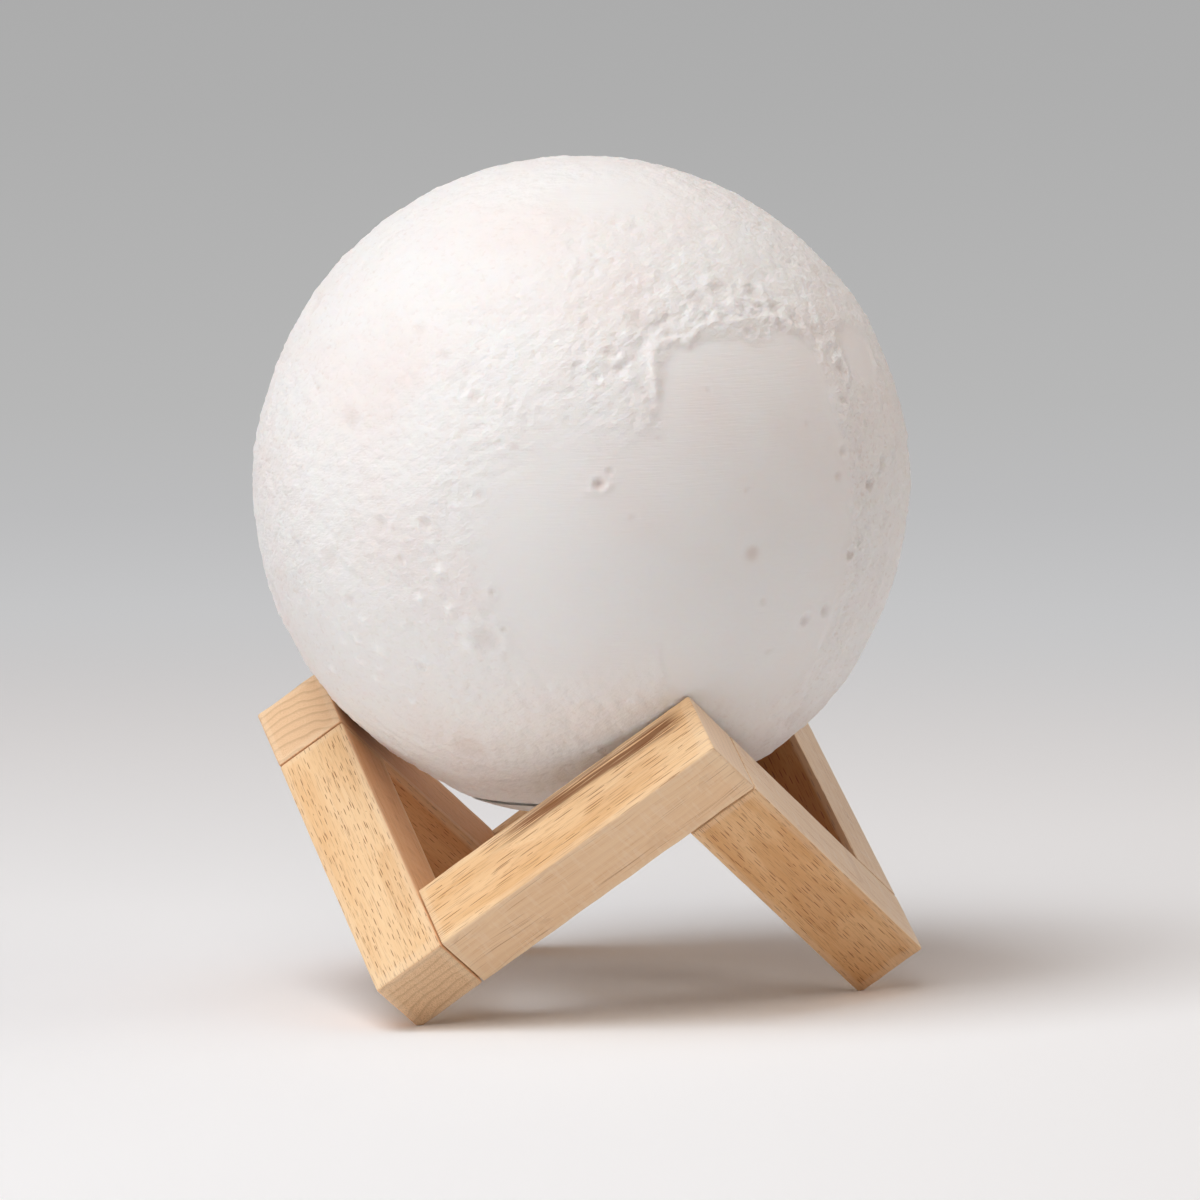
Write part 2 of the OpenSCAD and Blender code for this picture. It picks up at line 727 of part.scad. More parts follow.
// Pillar on two legs that straddle the cell, flaring to the plate that carries the light board
module light_pillar() {
    plate_z = led_z - top_plate_t;
    tube_h = plate_z - foot_z;
    color("white") in_globe() difference() {
        union() {
            translate([0, 0, foot_z]) cylinder(r = foot_plate_r, h = foot_plate_t);
            translate([0, 0, foot_z]) cylinder(r1 = pillar_foot_r, r2 = pillar_top_r, h = tube_h);
            translate([0, 0, plate_z - flare_h]) cylinder(r1 = pillar_top_r, r2 = top_plate_r, h = flare_h);
            translate([0, 0, plate_z]) cylinder(r = top_plate_r, h = top_plate_t);
            for (side = [-1, 1]) translate([0, side * (leg_y + leg_t / 2), tray_top])
                block([leg_w, leg_t, foot_z - tray_top + eps]);
        }
        translate([0, 0, foot_z + foot_plate_t])
            cylinder(r1 = pillar_foot_r - pillar_wall, r2 = pillar_top_r - pillar_wall, h = tube_h - foot_plate_t);
        translate([0, 0, plate_z - eps]) cylinder(r = lead_way_r, h = top_plate_t + 2 * eps);
        translate([-pillar_foot_r, 0, lead_turn_z]) rotate([0, 90, 0]) cylinder(r = lead_way_r, h = pillar_foot_r);
        for (side = [-1, 1]) {
            translate([0, side * (leg_y + leg_t / 2), tray_top - eps])
                cylinder(r = small_screw_r + shank_gap, h = pillar_grip + screw_end_gap + eps);
            translate([side * led_screw_x, 0, plate_z - eps])
                cylinder(r = small_screw_r + shank_gap, h = top_plate_t + 2 * eps);
        }
    }
}

module pillar_screws() {
    color("silver") in_globe() for (side = [-1, 1])
        translate([0, side * (leg_y + leg_t / 2), tray_z]) rotate([180, 0, 0])
            screw(small_screw_r, tray_t + pillar_grip);
}

module led_board() {
    color("white") in_globe() translate([0, 0, led_z]) difference() {
        cylinder(r = led_board_r, h = led_board_t);
        for (side = [-1, 1]) translate([side * led_screw_x, 0, -eps])
            cylinder(r = small_screw_r + hole_gap, h = led_board_t + 2 * eps);
    }
}

// Ring of chips, turned so that the two screws stand between them
module led_chips() {
    color("khaki") in_globe() translate([0, 0, led_z + led_board_t]) {
        block(chip_size);
        for (i = [0 : led_count - 1]) rotate((i + 0.5) * 360 / led_count)
            translate([chip_ring, 0, 0]) block(chip_size);
    }
}

module led_screws() {
    color("silver") in_globe() for (side = [-1, 1])
        translate([side * led_screw_x, 0, led_z + led_board_t])
            screw(small_screw_r, led_board_t + top_plate_t - part_gap);
}

// Pair of wires from their plug, beside the cell and up inside the pillar to the light board
module led_leads() {
    color("red") in_globe() for (side = [-1, 1]) {
        y = side * lead_y;
        wire([
            [-plug_face_x, y, plug_lead_z], [-lead_x, y, plug_lead_z],
            [-lead_x, y, lead_turn_z], [0, y, lead_turn_z], [0, y, led_z]
        ], lead_r);
    }
}

module diffuser_dome() {
    crown_z = led_z + dome_skirt_h;
    color("ghostwhite") in_globe() {
        translate([0, 0, led_z]) ring(dome_outer_r, dome_inner_r, dome_skirt_h);
        difference() {
            translate([0, 0, crown_z]) sphere(dome_outer_r);
            translate([0, 0, crown_z]) sphere(dome_inner_r);
            translate([0, 0, crown_z - through]) cylinder(r = dome_outer_r + eps, h = through);
        }
    }
}

// ---------------------------------------------------------------- nodes

seat_bar(0);  // seat_bar_1
seat_bar(1);  // seat_bar_2
seat_bar(2);  // seat_bar_3
leg_bar(0);  // leg_bar_1
leg_bar(1);  // leg_bar_2
leg_bar(2);  // leg_bar_3
stand_dowels();
globe_shell();
base_cap();
touch_ring();
charge_port();
port_tongue();
charge_light();
power_button();
switch_plunger();
switch_body();
touch_contact();
control_board();
board_parts();
battery_tray();
battery_pad();
battery_cell();
battery_leads();
tray_screws();
light_pillar();
pillar_screws();
led_board();
led_chips();
led_screws();
led_leads();
diffuser_dome();
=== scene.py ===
"""Moon lamp: a matt printed globe with the relief of the moon, lying in a stand of six square beech bars.

The frame holds every piece at its real size, and this script gives the pieces their looks. Metres, +Z up.
"""

import logging
import math
from dataclasses import dataclass, field
from enum import Enum
from typing import Any, Sequence

import bmesh
import bpy
import numpy as np
from mathutils import Matrix, Vector, noise


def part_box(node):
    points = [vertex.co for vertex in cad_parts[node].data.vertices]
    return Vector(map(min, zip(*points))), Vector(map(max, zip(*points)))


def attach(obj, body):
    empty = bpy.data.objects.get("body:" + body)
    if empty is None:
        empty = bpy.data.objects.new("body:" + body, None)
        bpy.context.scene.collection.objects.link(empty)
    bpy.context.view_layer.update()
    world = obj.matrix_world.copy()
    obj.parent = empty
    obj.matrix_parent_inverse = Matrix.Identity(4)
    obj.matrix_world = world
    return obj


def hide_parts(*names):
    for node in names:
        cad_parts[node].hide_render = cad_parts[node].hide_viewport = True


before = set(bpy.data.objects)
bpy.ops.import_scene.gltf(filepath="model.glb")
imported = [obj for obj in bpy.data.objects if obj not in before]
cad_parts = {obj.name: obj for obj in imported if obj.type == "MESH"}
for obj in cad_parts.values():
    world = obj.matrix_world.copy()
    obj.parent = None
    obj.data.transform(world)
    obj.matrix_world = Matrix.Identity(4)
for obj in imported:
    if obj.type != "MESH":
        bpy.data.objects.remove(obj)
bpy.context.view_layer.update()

LOG = logging.getLogger("moon_lamp")
MM = 0.001

Point = tuple[float, float, float]
Pair = tuple[float, float]


# ---------------------------------------------------------------- helpers


def linear(hex_colour: str) -> tuple[float, float, float, float]:
    """Turns an sRGB hex colour to linear light.

    Args:
        hex_colour: Six hex digits after a hash sign.

    Returns:
        Red, green, blue and an alpha of 1.
    """
    parts = [int(hex_colour[i : i + 2], 16) / 255 for i in (1, 3, 5)]
    light = [c / 12.92 if c <= 0.04045 else ((c + 0.055) / 1.055) ** 2.4 for c in parts]
    return (light[0], light[1], light[2], 1.0)


class Field:
    """A value that flows through a node tree. Arithmetic on it adds the nodes that work it out."""

    def __init__(self, socket: bpy.types.NodeSocket) -> None:
        """Takes the output socket that gives the value."""
        self.socket = socket
        self.tree = socket.id_data

    def __add__(self, other: Any) -> "Field":
        """Adds a number or a field."""
        return calc("ADD", self, other)

    def __radd__(self, other: Any) -> "Field":
        """Adds the field to a number."""
        return calc("ADD", other, self)

    def __sub__(self, other: Any) -> "Field":
        """Takes away a number or a field."""
        return calc("SUBTRACT", self, other)

    def __mul__(self, other: Any) -> "Field":
        """Multiplies by a number or a field."""
        return calc("MULTIPLY", self, other)

    def __truediv__(self, other: Any) -> "Field":
        """Divides by a number or a field."""
        return calc("DIVIDE", self, other)

    def __rtruediv__(self, other: Any) -> "Field":
        """Divides a number by the field."""
        return calc("DIVIDE", other, self)

    def __pow__(self, other: Any) -> "Field":
        """Raises to a power."""
        return calc("POWER", self, other)

    def __abs__(self) -> "Field":
        """Drops the sign."""
        return calc("ABSOLUTE", self)


def add(tree: bpy.types.NodeTree, kind: str, inputs: dict[Any, Any] | None = None,
        **settings: Any) -> bpy.types.Node:
    """Adds a node with its settings and its inputs.

    Args:
        tree: The node tree that takes the node.
        kind: The node's type name.
        inputs: For each input, by name or number, a field to link or a value to set.
        settings: Properties of the node itself.

    Returns:
        The new node.
    """
    node = tree.nodes.new(kind)
    for name, value in settings.items():
        setattr(node, name, value)
    for name, value in (inputs or {}).items():
        if isinstance(value, Field):
            tree.links.new(value.socket, node.inputs[name])
        else:
            node.inputs[name].default_value = value
    return node


def read(tree: bpy.types.NodeTree, kind: str, inputs: dict[Any, Any] | None = None, key: int | str = 0,
         **settings: Any) -> Field:
    """Adds a node, as add does, and reads one of its outputs.

    Args:
        tree: The node tree that takes the node.
        kind: The node's type name.
        inputs: For each input a field or a value.
        key: The output's number or name.
        settings: Properties of the node itself.

    Returns:
        The output as a field.
    """
    return Field(add(tree, kind, inputs, **settings).outputs[key])


def tree_of(values: Sequence[Any]) -> bpy.types.NodeTree:
    """Finds the tree that the fields among some values belong to."""
    return next(value.tree for value in values if isinstance(value, Field))


def calc(operation: str, *values: Any) -> Field:
    """Adds one step of arithmetic on numbers, at least one of them a field."""
    return read(tree_of(values), "ShaderNodeMath", dict(enumerate(values)), operation=operation)


def vector(operation: str, *values: Any, key: int = 0) -> Field:
    """Adds one step of vector arithmetic.

    Args:
        operation: Name of the operation.
        values: Its inputs, fields or triples, at least one of them a field.
        key: 0 to read a vector, 1 to read a number.

    Returns:
        The result.
    """
    return read(tree_of(values), "ShaderNodeVectorMath", dict(enumerate(values)), key, operation=operation)


def scaled(place: Field, share: Any) -> Field:
    """Multiplies a vector by a number or a field."""
    return read(place.tree, "ShaderNodeVectorMath", {0: place, "Scale": share}, operation="SCALE")


def split(place: Field) -> list[Field]:
    """Splits a vector into its three numbers."""
    return [Field(part) for part in add(place.tree, "ShaderNodeSeparateXYZ", {0: place}).outputs]


def joined(*parts: Any) -> Field:
    """Joins three numbers, fields or values, into a vector."""
    return read(tree_of(parts), "ShaderNodeCombineXYZ", dict(enumerate(parts)))


def ramp(value: Field, low: float, high: float, ends: Pair = (0.0, 1.0)) -> Field:
    """Maps a value smoothly from one range to another and holds it at the ends.

    Args:
        value: The field to map.
        low: The value that gives the first end.
        high: The value that gives the second end.
        ends: The two ends.

    Returns:
        The mapped value.
    """
    inputs = dict(enumerate((value, low, high, *ends)))
    return read(value.tree, "ShaderNodeMapRange", inputs, interpolation_type="SMOOTHSTEP")


def mixed(share: Any, first: Any, second: Any, blend: str = "MIX") -> Field:
    """Mixes two colours.

    Args:
        share: Share of the second colour, a field or a number.
        first: The colour at share 0.
        second: The colour at share 1.
        blend: How the second is laid over the first.

    Returns:
        The mixed colour.
    """
    inputs = {0: share, 6: first, 7: second}
    tree = tree_of((share, first, second))
    return read(tree, "ShaderNodeMix", inputs, 2, data_type="RGBA", blend_type=blend)


def between(share: Field, first: str, second: str) -> Field:
    """Mixes two even colours, given as sRGB hex."""
    return mixed(share, linear(first), linear(second))


def laid(under: Field, colour: str, share: Any) -> Field:
    """Lays an even colour over another, as far as a share from 0 to 1 says."""
    return mixed(share, under, linear(colour))


def cloud(place: Field, detail: float = 2.0, rough: float = 0.5) -> Field:
    """Reads a noise whose lumps are about one unit wide.

    Args:
        place: The place.
        detail: Number of finer layers.
        rough: Share of the finer layers.

    Returns:
        The noise, about 0.5 on average.
    """
    inputs = {"Vector": place, "Scale": 1.0, "Detail": detail, "Roughness": rough}
    return read(place.tree, "ShaderNodeTexNoise", inputs)


def grain(place: Field, sizes: Point | float, detail: float = 2.0, rough: float = 0.5) -> Field:
    """Reads a noise whose lumps have given sizes.

    Args:
        place: The place, in millimetres.
        sizes: Size of a lump in millimetres, along each axis or along all.
        detail: Number of finer layers.
        rough: Share of the finer layers.

    Returns:
        The noise, about 0.5 on average.
    """
    along_axes = sizes if isinstance(sizes, tuple) else (sizes,) * 3
    return cloud(vector("DIVIDE", place, along_axes), detail, rough)


def strewn(place: Field, randomness: float, **settings: Any) -> dict[str, Field]:
    """Strews a point in each unit cube and reads the nearest.

    Args:
        place: The place.
        randomness: How far the points stray from a grid, 0 to 1.
        settings: Properties of the node itself.

    Returns:
        The distance to the point, a random colour of its own and its position.
    """
    inputs = {"Vector": place, "Scale": 1.0, "Randomness": randomness}
    node = add(place.tree, "ShaderNodeTexVoronoi", inputs, **settings)
    return {output.name: Field(output) for output in node.outputs}


def place_mm(tree: bpy.types.NodeTree, centre: Point = (0.0, 0.0, 0.0),
             turn: Point = (0.0, 0.0, 0.0)) -> Field:
    """Reads the place on a piece in millimetres, from a centre and along turned axes.

    Args:
        tree: The node tree.
        centre: The centre, in metres.
        turn: The axes' Euler angles, in radians.

    Returns:
        The place.
    """
    place = read(tree, "ShaderNodeTexCoord", key="Object")
    inputs = {"Vector": place, "Location": centre, "Rotation": turn, "Scale": (MM, MM, MM)}
    return read(tree, "ShaderNodeMapping", inputs, vector_type="TEXTURE")


def marked(tree: bpy.types.NodeTree, name: str) -> Field:
    """Reads a number that the mesh keeps for each point."""
    return read(tree, "ShaderNodeAttribute", key="Fac", attribute_name=name)


def bump(height_mm: Field) -> Field:
    """Turns the height of a relief too fine to model, in millimetres, to a surface's direction."""
    return read(height_mm.tree, "ShaderNodeBump", {"Strength": 1.0, "Distance": MM, "Height": height_mm})


def new_material(name: str) -> tuple[bpy.types.Material, bpy.types.NodeTree]:
    """Makes a material with an empty tree."""
    material = bpy.data.materials.new(name)
    material.use_nodes = True
    material.node_tree.nodes.clear()
    return material, material.node_tree


def surfaced(material: bpy.types.Material, inputs: dict[str, Any]) -> bpy.types.Material:
    """Gives a material a principled surface.

    Args:
        material: The material.
        inputs: The surface's inputs, fields or values.

    Returns:
        The same material.
    """
    surface = read(material.node_tree, "ShaderNodeBsdfPrincipled", inputs)
    add(material.node_tree, "ShaderNodeOutputMaterial", {"Surface": surface})
    return material


def dress(piece: bpy.types.Object, *materials: bpy.types.Material) -> None:
    """Gives a piece its materials in place of any others."""
    piece.data.materials.clear()
    for material in materials:
        piece.data.materials.append(material)


def mesh_piece(name: str, vertices: np.ndarray, faces: Sequence[Sequence[int]]) -> bpy.types.Object:
    """Makes a smoothly shaded object at the origin.

    Args:
        name: The object's name.
        vertices: Its points, in metres.
        faces: Loops of point numbers that turn outwards.

    Returns:
        The new object.
    """
    mesh = bpy.data.meshes.new(name)
    mesh.from_pydata(vertices.tolist(), [], faces)
    mesh.shade_smooth()
    piece = bpy.data.objects.new(name, mesh)
    bpy.context.scene.collection.objects.link(piece)
    return piece


def apply_nodes(piece: bpy.types.Object, tree: bpy.types.NodeTree, values: dict[str, Any]) -> None:
    """Runs a geometry tree on a piece and keeps the result as a plain mesh.

    Args:
        piece: The piece, whose mesh is the tree's first input.
        tree: The geometry tree.
        values: The tree's inputs by name.
    """
    modifier = piece.modifiers.new(tree.name, "NODES")
    modifier.node_group = tree
    for item in tree.interface.items_tree:
        if item.item_type == "SOCKET" and item.in_out == "INPUT" and item.name in values:
            modifier[item.identifier] = values[item.name]
    bpy.context.view_layer.update()
    evaluated = piece.evaluated_get(bpy.context.evaluated_depsgraph_get())
    mesh = bpy.data.meshes.new_from_object(evaluated)
    old = piece.data
    piece.modifiers.remove(modifier)
    piece.data = mesh
    bpy.data.meshes.remove(old)
    mesh.name = piece.name


def geometry_tree(name: str, inputs: dict[str, tuple[str, Any]],
                  ) -> tuple[bpy.types.NodeTree, dict[str, Field]]:
    """Starts a geometry tree with named inputs.

    Args:
        name: The tree's name.
        inputs: For each input its socket type and its usual value, or None.

    Returns:
        The tree and its inputs as fields, the geometry among them.
    """
    tree = bpy.data.node_groups.new(name, "GeometryNodeTree")
    tree.interface.new_socket("Geometry", in_out="INPUT", socket_type="NodeSocketGeometry")
    for label, (kind, usual) in inputs.items():
        socket = tree.interface.new_socket(label, in_out="INPUT", socket_type=kind)
        if usual is not None:
            socket.default_value = usual
    tree.interface.new_socket("Geometry", in_out="OUTPUT", socket_type="NodeSocketGeometry")
    given = tree.nodes.new("NodeGroupInput").outputs
    return tree, {label: Field(given[label]) for label in ("Geometry", *inputs)}


def end_tree(shape: Field, material: Field) -> None:
    """Ends a geometry tree in plain, dressed geometry.

    Args:
        shape: The finished geometry.
        material: The material.
    """
    tree = shape.tree
    smooth = read(tree, "GeometryNodeSetShadeSmooth", {"Geometry": shape})
    real = read(tree, "GeometryNodeRealizeInstances", {0: smooth})
    dressed = read(tree, "GeometryNodeSetMaterial", {"Geometry": real, "Material": material})
    add(tree, "NodeGroupOutput", {0: dressed})


def smoothstep(low: float, high: float, values: np.ndarray) -> np.ndarray:
    """Rises smoothly from 0 at low to 1 at high, for a whole array."""
    t = np.clip((values - low) / (high - low), 0, 1)
    return t * t * (3 - 2 * t)


def lumps(points: np.ndarray, size: float, layers: int = 3, seed: float = 0.0) -> np.ndarray:
    """Reads a smooth random field at many points.

    Args:
        points: The points, one a row.
        size: Size of the largest lumps, in the points' unit.
        layers: Number of finer layers.
        seed: Offset that picks another field.

    Returns:
        A value from about -1 to 1 for each point.
    """
    return np.array([noise.fractal(p, 0.9, 2.1, layers) for p in (points / size + seed).tolist()])


# ---------------------------------------------------------------- finishes


@dataclass(frozen=True)
class BarWood:
    """What differs from one bar's wood to the next. The tones are of its two pairs of long sides, partly
    painted shade: dark on the inner sides of seat_bar_2 and seat_bar_3.
    """

    seed: float
    pith_mm: float
    skew: float
    tones_and_shade: tuple[str, str]
    turned: bool = False
    streaked: bool = False
    fleck_stretch: float = 1.0
    end_painted_light: float = 0.0


@dataclass(frozen=True)
class LogFields:
    """Where a bar's surface lies in the log that it was sawn from, and which way it faces.

    The places are in millimetres: along the bar's axes, and along the grain, round the pith and away from it.
    Rings runs from 0 to 1 through each year. The rest are masks: sawn ends, radial faces, and the long sides
    that take the second tone, which on seat_bar_3 is painted shade.
    """

    bar_mm: Field
    rays_mm: Field
    rings: Field
    end: Field
    radial: Field
    level: Field


@dataclass(frozen=True)
class BeechFinish:
    """Beech, planed, sanded and oiled matt: pale tan with short brown ray flecks along the grain.

    The flecks are thin upright sheets that point at the pith. They show as dashes on the tangential faces,
    as pale patches across the radial ones and as fine lines on the ends.
    """

    pale: str = "#fbdfb8"
    tan: str = "#f3cfa1"
    late_wood: str = "#dca96f"
    radial: str = "#f2decb"
    fleck: str = "#985424"
    end_light: str = "#f4cfa6"
    end_dark: str = "#bd9268"
    mineral: str = "#7c4820"
    pale_and_edge_highlight: str = "#fbe6c6"
    painted_light_end: str = "#fbe9d6"
    flake: str = "#f9e8d8"
    ring_pitch: float = 2.6
    ring_wobble: float = 1.3
    fleck_cell: Point = (3.8, 1.1, 9.0)
    fleck_half: Point = (1.5, 0.115, 16.0)
    hair_size: Point = (8.0, 0.17, 2.0)
    flake_size: Point = (0.8, 2.0, 5.0)
    fibre_size: Point = (11.0, 0.27, 0.27)
    vessel_size: Point = (17.0, 0.2, 0.3)
    pore_size: Point = (0.3, 0.2, 0.2)
    dent_mm: float = -0.02
    fibre_mm: float = 0.05

    def material(self, name: str, place: Matrix, wood: BarWood) -> bpy.types.Material:
        """Makes the wood of one bar.

        Args:
            name: The material's name.
            place: The bar's place, whose first axis is the grain.
            wood: What is particular to this bar.

        Returns:
            The material.
        """
        material, tree = new_material(name)
        log = self._log_fields(tree, place, wood)
        colour, fibre, dents = self._sides(log, wood.fleck_stretch)
        if wood.streaked:
            colour = self._streak(log.bar_mm, colour)
        # Each pair of long sides takes its tone; the dark tones on the inner sides are painted shade
        colour = mixed(1.0, colour, between(log.level, *wood.tones_and_shade), "MULTIPLY")
        # Sawn ends take the end-grain colour, paled on seat_bar_1 as painted light
        colour = mixed(log.end, colour, laid(self._ends(log), self.painted_light_end, wood.end_painted_light))
        # Eased edges are paler: partly wear, partly painted highlight
        colour = laid(colour, self.pale_and_edge_highlight, marked(tree, "edge") * 0.22)
        return surfaced(material, {
            "Base Color": colour, "Roughness": ramp(fibre, 0.3, 0.7, (0.5, 0.62)), "Specular IOR Level": 0.32,
            "IOR": 1.5, "Normal": bump(dents * self.dent_mm + fibre * self.fibre_mm)})

    def _log_fields(self, tree: bpy.types.NodeTree, place: Matrix, wood: BarWood) -> LogFields:
        """Finds a bar's place in its log.

        Args:
            tree: The material's tree.
            place: The bar's place.
            wood: What is particular to this bar.

        Returns:
            The places and masks that the rest of the material reads.
        """
        bar_mm = place_mm(tree, tuple(place.translation), tuple(place.to_euler()))
        angle = math.radians(wood.skew + (90 if wood.turned else 0))
        shift = (40 * wood.seed, 0.0, wood.pith_mm)
        inputs = {"Vector": bar_mm, "Rotation": (angle, 0, 0), "Location": shift}
        log_mm = read(tree, "ShaderNodeMapping", inputs)
        along, sideways, outward = split(log_mm)
        wobble = ramp(grain(log_mm, (48, 14, 14)), 0.25, 0.75, (-self.ring_wobble, self.ring_wobble))
        ring_r = calc("SQRT", sideways**2.0 + outward**2.0) + wobble
        rays_mm = joined(along, calc("ARCTAN2", sideways, outward) * wood.pith_mm, ring_r)
        normal = read(tree, "ShaderNodeTexCoord", key="Normal")
        axes = place.to_3x3()
        round_axis = axes @ Matrix.Rotation(-angle, 3, "X") @ Vector((0, 1, 0))
        ways = (axes.col[0], round_axis, axes.col[2])
        end, ray, third = (abs(vector("DOT_PRODUCT", normal, tuple(way), key=1)) for way in ways)
        return LogFields(bar_mm, rays_mm, rings=calc("FRACT", ring_r / self.ring_pitch),
                         end=ramp(end, 0.75, 0.93), radial=ramp(ray, 0.55, 0.9), level=ramp(third, 0.5, 0.85))

    def _sides(self, log: LogFields, fleck_stretch: float) -> tuple[Field, Field, Field]:
        """Colours the long faces.

        Args:
            log: The bar's place in its log.
            fleck_stretch: Length of the flecks as a share of the usual one.

        Returns:
            The colour, the fibres and the dents that flecks and pores leave.
        """
        tone = ramp(grain(log.bar_mm, (45, 11, 11), 3.0), 0.3, 0.7)
        fibre = grain(log.rays_mm, self.fibre_size, 3.0, 0.6)
        late = ramp(log.rings, 0.3, 0.85) * ramp(log.rings, 0.85, 1.0, (1.0, 0.0))
        hairs = ramp(grain(log.rays_mm, self.hair_size, 1.0), 0.62, 0.7)
        flakes = ramp(grain(log.rays_mm, self.flake_size), 0.5, 0.66) * log.radial
        dash = self._flecks(log, fleck_stretch)
        pores = ramp(grain(log.rays_mm, self.vessel_size, 1.0), 0.64, 0.74)
        layers = (
            (self.late_wood, late * ramp(log.radial, 0, 1, (0.34, 0.36))),
            (self.radial, log.radial * 0.6),
            (self.late_wood, ramp(fibre, 0.52, 0.78, (0.0, 0.42))),
            (self.pale_and_edge_highlight, ramp(fibre, 0.46, 0.25, (0.0, 0.4))),
            (self.fleck, hairs * ramp(log.radial, 0, 1, (0.3, 0.0))),
            (self.flake, flakes * 0.38), (self.fleck, dash * 0.82), (self.fleck, pores * 0.5))
        colour = between(tone, self.tan, self.pale)
        for tint, share in layers:
            colour = laid(colour, tint, share)
        return colour, fibre, dash + pores

    def _flecks(self, log: LogFields, stretch: float) -> Field:
        """Strews the ray flecks, one in each cell, drawn out along the grain.

        Args:
            log: The bar's place in its log.
            stretch: Their length as a share of the usual one.

        Returns:
            The mask of the flecks, faint on radial faces.
        """
        cells = vector("DIVIDE", log.rays_mm, (self.fleck_cell[0] * stretch, *self.fleck_cell[1:]))
        spots = strewn(cells, 0.95)
        shape = tuple(cell / half for cell, half in zip(self.fleck_cell, self.fleck_half))
        offset = vector("MULTIPLY", vector("SUBTRACT", cells, spots["Position"]), shape)
        chance = read(cells.tree, "ShaderNodeSeparateColor", {0: spots["Color"]})
        fleck = ramp(vector("LENGTH", offset, key=1), 1.0, 0.65) * ramp(chance, 0.12, 0.85, (0.2, 1.0))
        return fleck * ramp(log.radial, 0, 1, (1.0, 0.15))

    def _ends(self, log: LogFields) -> Field:
        """Colours the sawn ends, where rings, rays and pores show."""
        dark_ring = ramp(log.rings, 0.55, 0.93) * ramp(log.rings, 0.93, 1.0, (1.0, 0.0))
        pores = ramp(grain(log.rays_mm, self.pore_size, 3.0, 0.7), 0.42, 0.7)
        rays = ramp(grain(log.rays_mm, (6, 0.22, 5.0)), 0.55, 0.75)
        colour = laid(between(pores * 0.75, self.end_light, self.end_dark), self.end_dark, dark_ring * 0.42)
        return laid(colour, self.pale_and_edge_highlight, rays * 0.22)

    def _streak(self, bar_mm: Field, colour: Field) -> Field:
        """Lays a brown mineral streak along the edge beside the globe.

        Args:
            bar_mm: Place along the bar's own axes.
            colour: The colour under the streak.

        Returns:
            The colour with the streak.
        """
        along, across, up = split(bar_mm)
        sway = ramp(grain(bar_mm, (22, 60, 60), 1.0), 0.3, 0.7, (-0.8, 0.8))
        band = ramp(abs(across + sway - 6.0), 1.2, 3.2, (1.0, 0.0))
        stretch = ramp(along, -22.0, -6.0) * ramp(along, 36.0, 30.0)
        lines = ramp(grain(bar_mm, (30, 0.45, 0.7), 2.0, 0.6), 0.34, 0.5)
        return laid(colour, self.mineral, band * ramp(up, 2.0, 7.5) * (stretch * lines) * 0.85)


@dataclass(frozen=True)
class PrintedPla:
    """White PLA, printed in thin level layers and left as it came: matt, a little waxy, light seeps into it.

    Real layers are 0.1 mm thick, too fine to show, so they are drawn 0.45 mm thick and broken up.
    """

    white: str = "#f6f4f3"
    blush: str = "#f5eeec"
    painted_shade: str = "#d2b9ac"
    painted_highlight: str = "#ffffff"
    layer: Point = (6.0, 6.0, 0.45)
    layer_mm: float = 0.07
    stroke: Point = (3.8, 2.0, 0.8)
    stroke_mm: float = 0.22
    stroke_turn: float = 32.0
    speck: Point = (1.3, 1.3, 1.1)
    speck_mm: float = 0.24
    seep: Point = (1.0, 0.62, 0.48)
    seep_mm: float = 3.0

    def material(self, centre: Point) -> bpy.types.Material:
        """Makes the plastic.

        Args:
            centre: Middle of the globe.

        Returns:
            The material.
        """
        material, tree = new_material("PLA_printed_white")
        place = place_mm(tree, centre)
        rough, pit_shade_knob_light = marked(tree, "rough"), marked(tree, "pit_shade_knob_light")
        specks = grain(place, self.speck, 2.0, 0.55)
        colour = between(ramp(grain(place, (34, 34, 30), 3.0), 0.4, 0.75), self.white, self.blush)
        # Painted shade in the low spots of the fine specks on rough ground
        colour = laid(colour, self.painted_shade, ramp(specks, 0.45, 0.25) * (rough * 0.16))
        # Above zero the field paints shade in crater bowls; below zero it gives the tops of knobs a painted
        # highlight
        colour = laid(laid(colour, self.painted_shade, pit_shade_knob_light), self.painted_highlight, pit_shade_knob_light * -1.0)
        layers = grain(place, self.layer, 2.0, 0.6) * self.layer_mm
        turn = (0, math.radians(self.stroke_turn), 0)
        turned = read(tree, "ShaderNodeMapping", {"Vector": place, "Rotation": turn})
        strokes = grain(turned, self.stroke, 3.0, 0.6) * self.stroke_mm
        return surfaced(material, {
            "Base Color": colour, "Roughness": 0.55, "IOR": 1.46, "Specular IOR Level": 0.3,
            "Subsurface Weight": 0.25, "Subsurface Radius": self.seep, "Subsurface Scale": self.seep_mm * MM,
            "Normal": bump(layers + (strokes + specks * self.speck_mm) * rough)})


@dataclass(frozen=True)
class MouldedPlastic:
    """Injection-moulded plastic from a spark-eroded mould: an even satin with a fine pebbled grain."""

    name: str
    colour: str
    shade: str
    roughness: float = 0.45
    grain_mm: float = 0.35
    depth_mm: float = 0.012

    def material(self) -> bpy.types.Material:
        """Makes the plastic."""
        material, tree = new_material(self.name)
        place = place_mm(tree)
        pebbles = grain(place, self.grain_mm)
        return surfaced(material, {
            "Base Color": between(ramp(grain(place, 14, 3.0), 0.35, 0.65), self.colour, self.shade),
            "Roughness": ramp(pebbles, 0.3, 0.7, (self.roughness - 0.05, self.roughness + 0.08)),
            "IOR": 1.53, "Normal": bump(pebbles * self.depth_mm)})


class Lay(Enum):
    """Which way the marks of its making run on a metal."""

    ROUND = "round"
    ALONG_Z = "along_z"
    EVEN = "even"


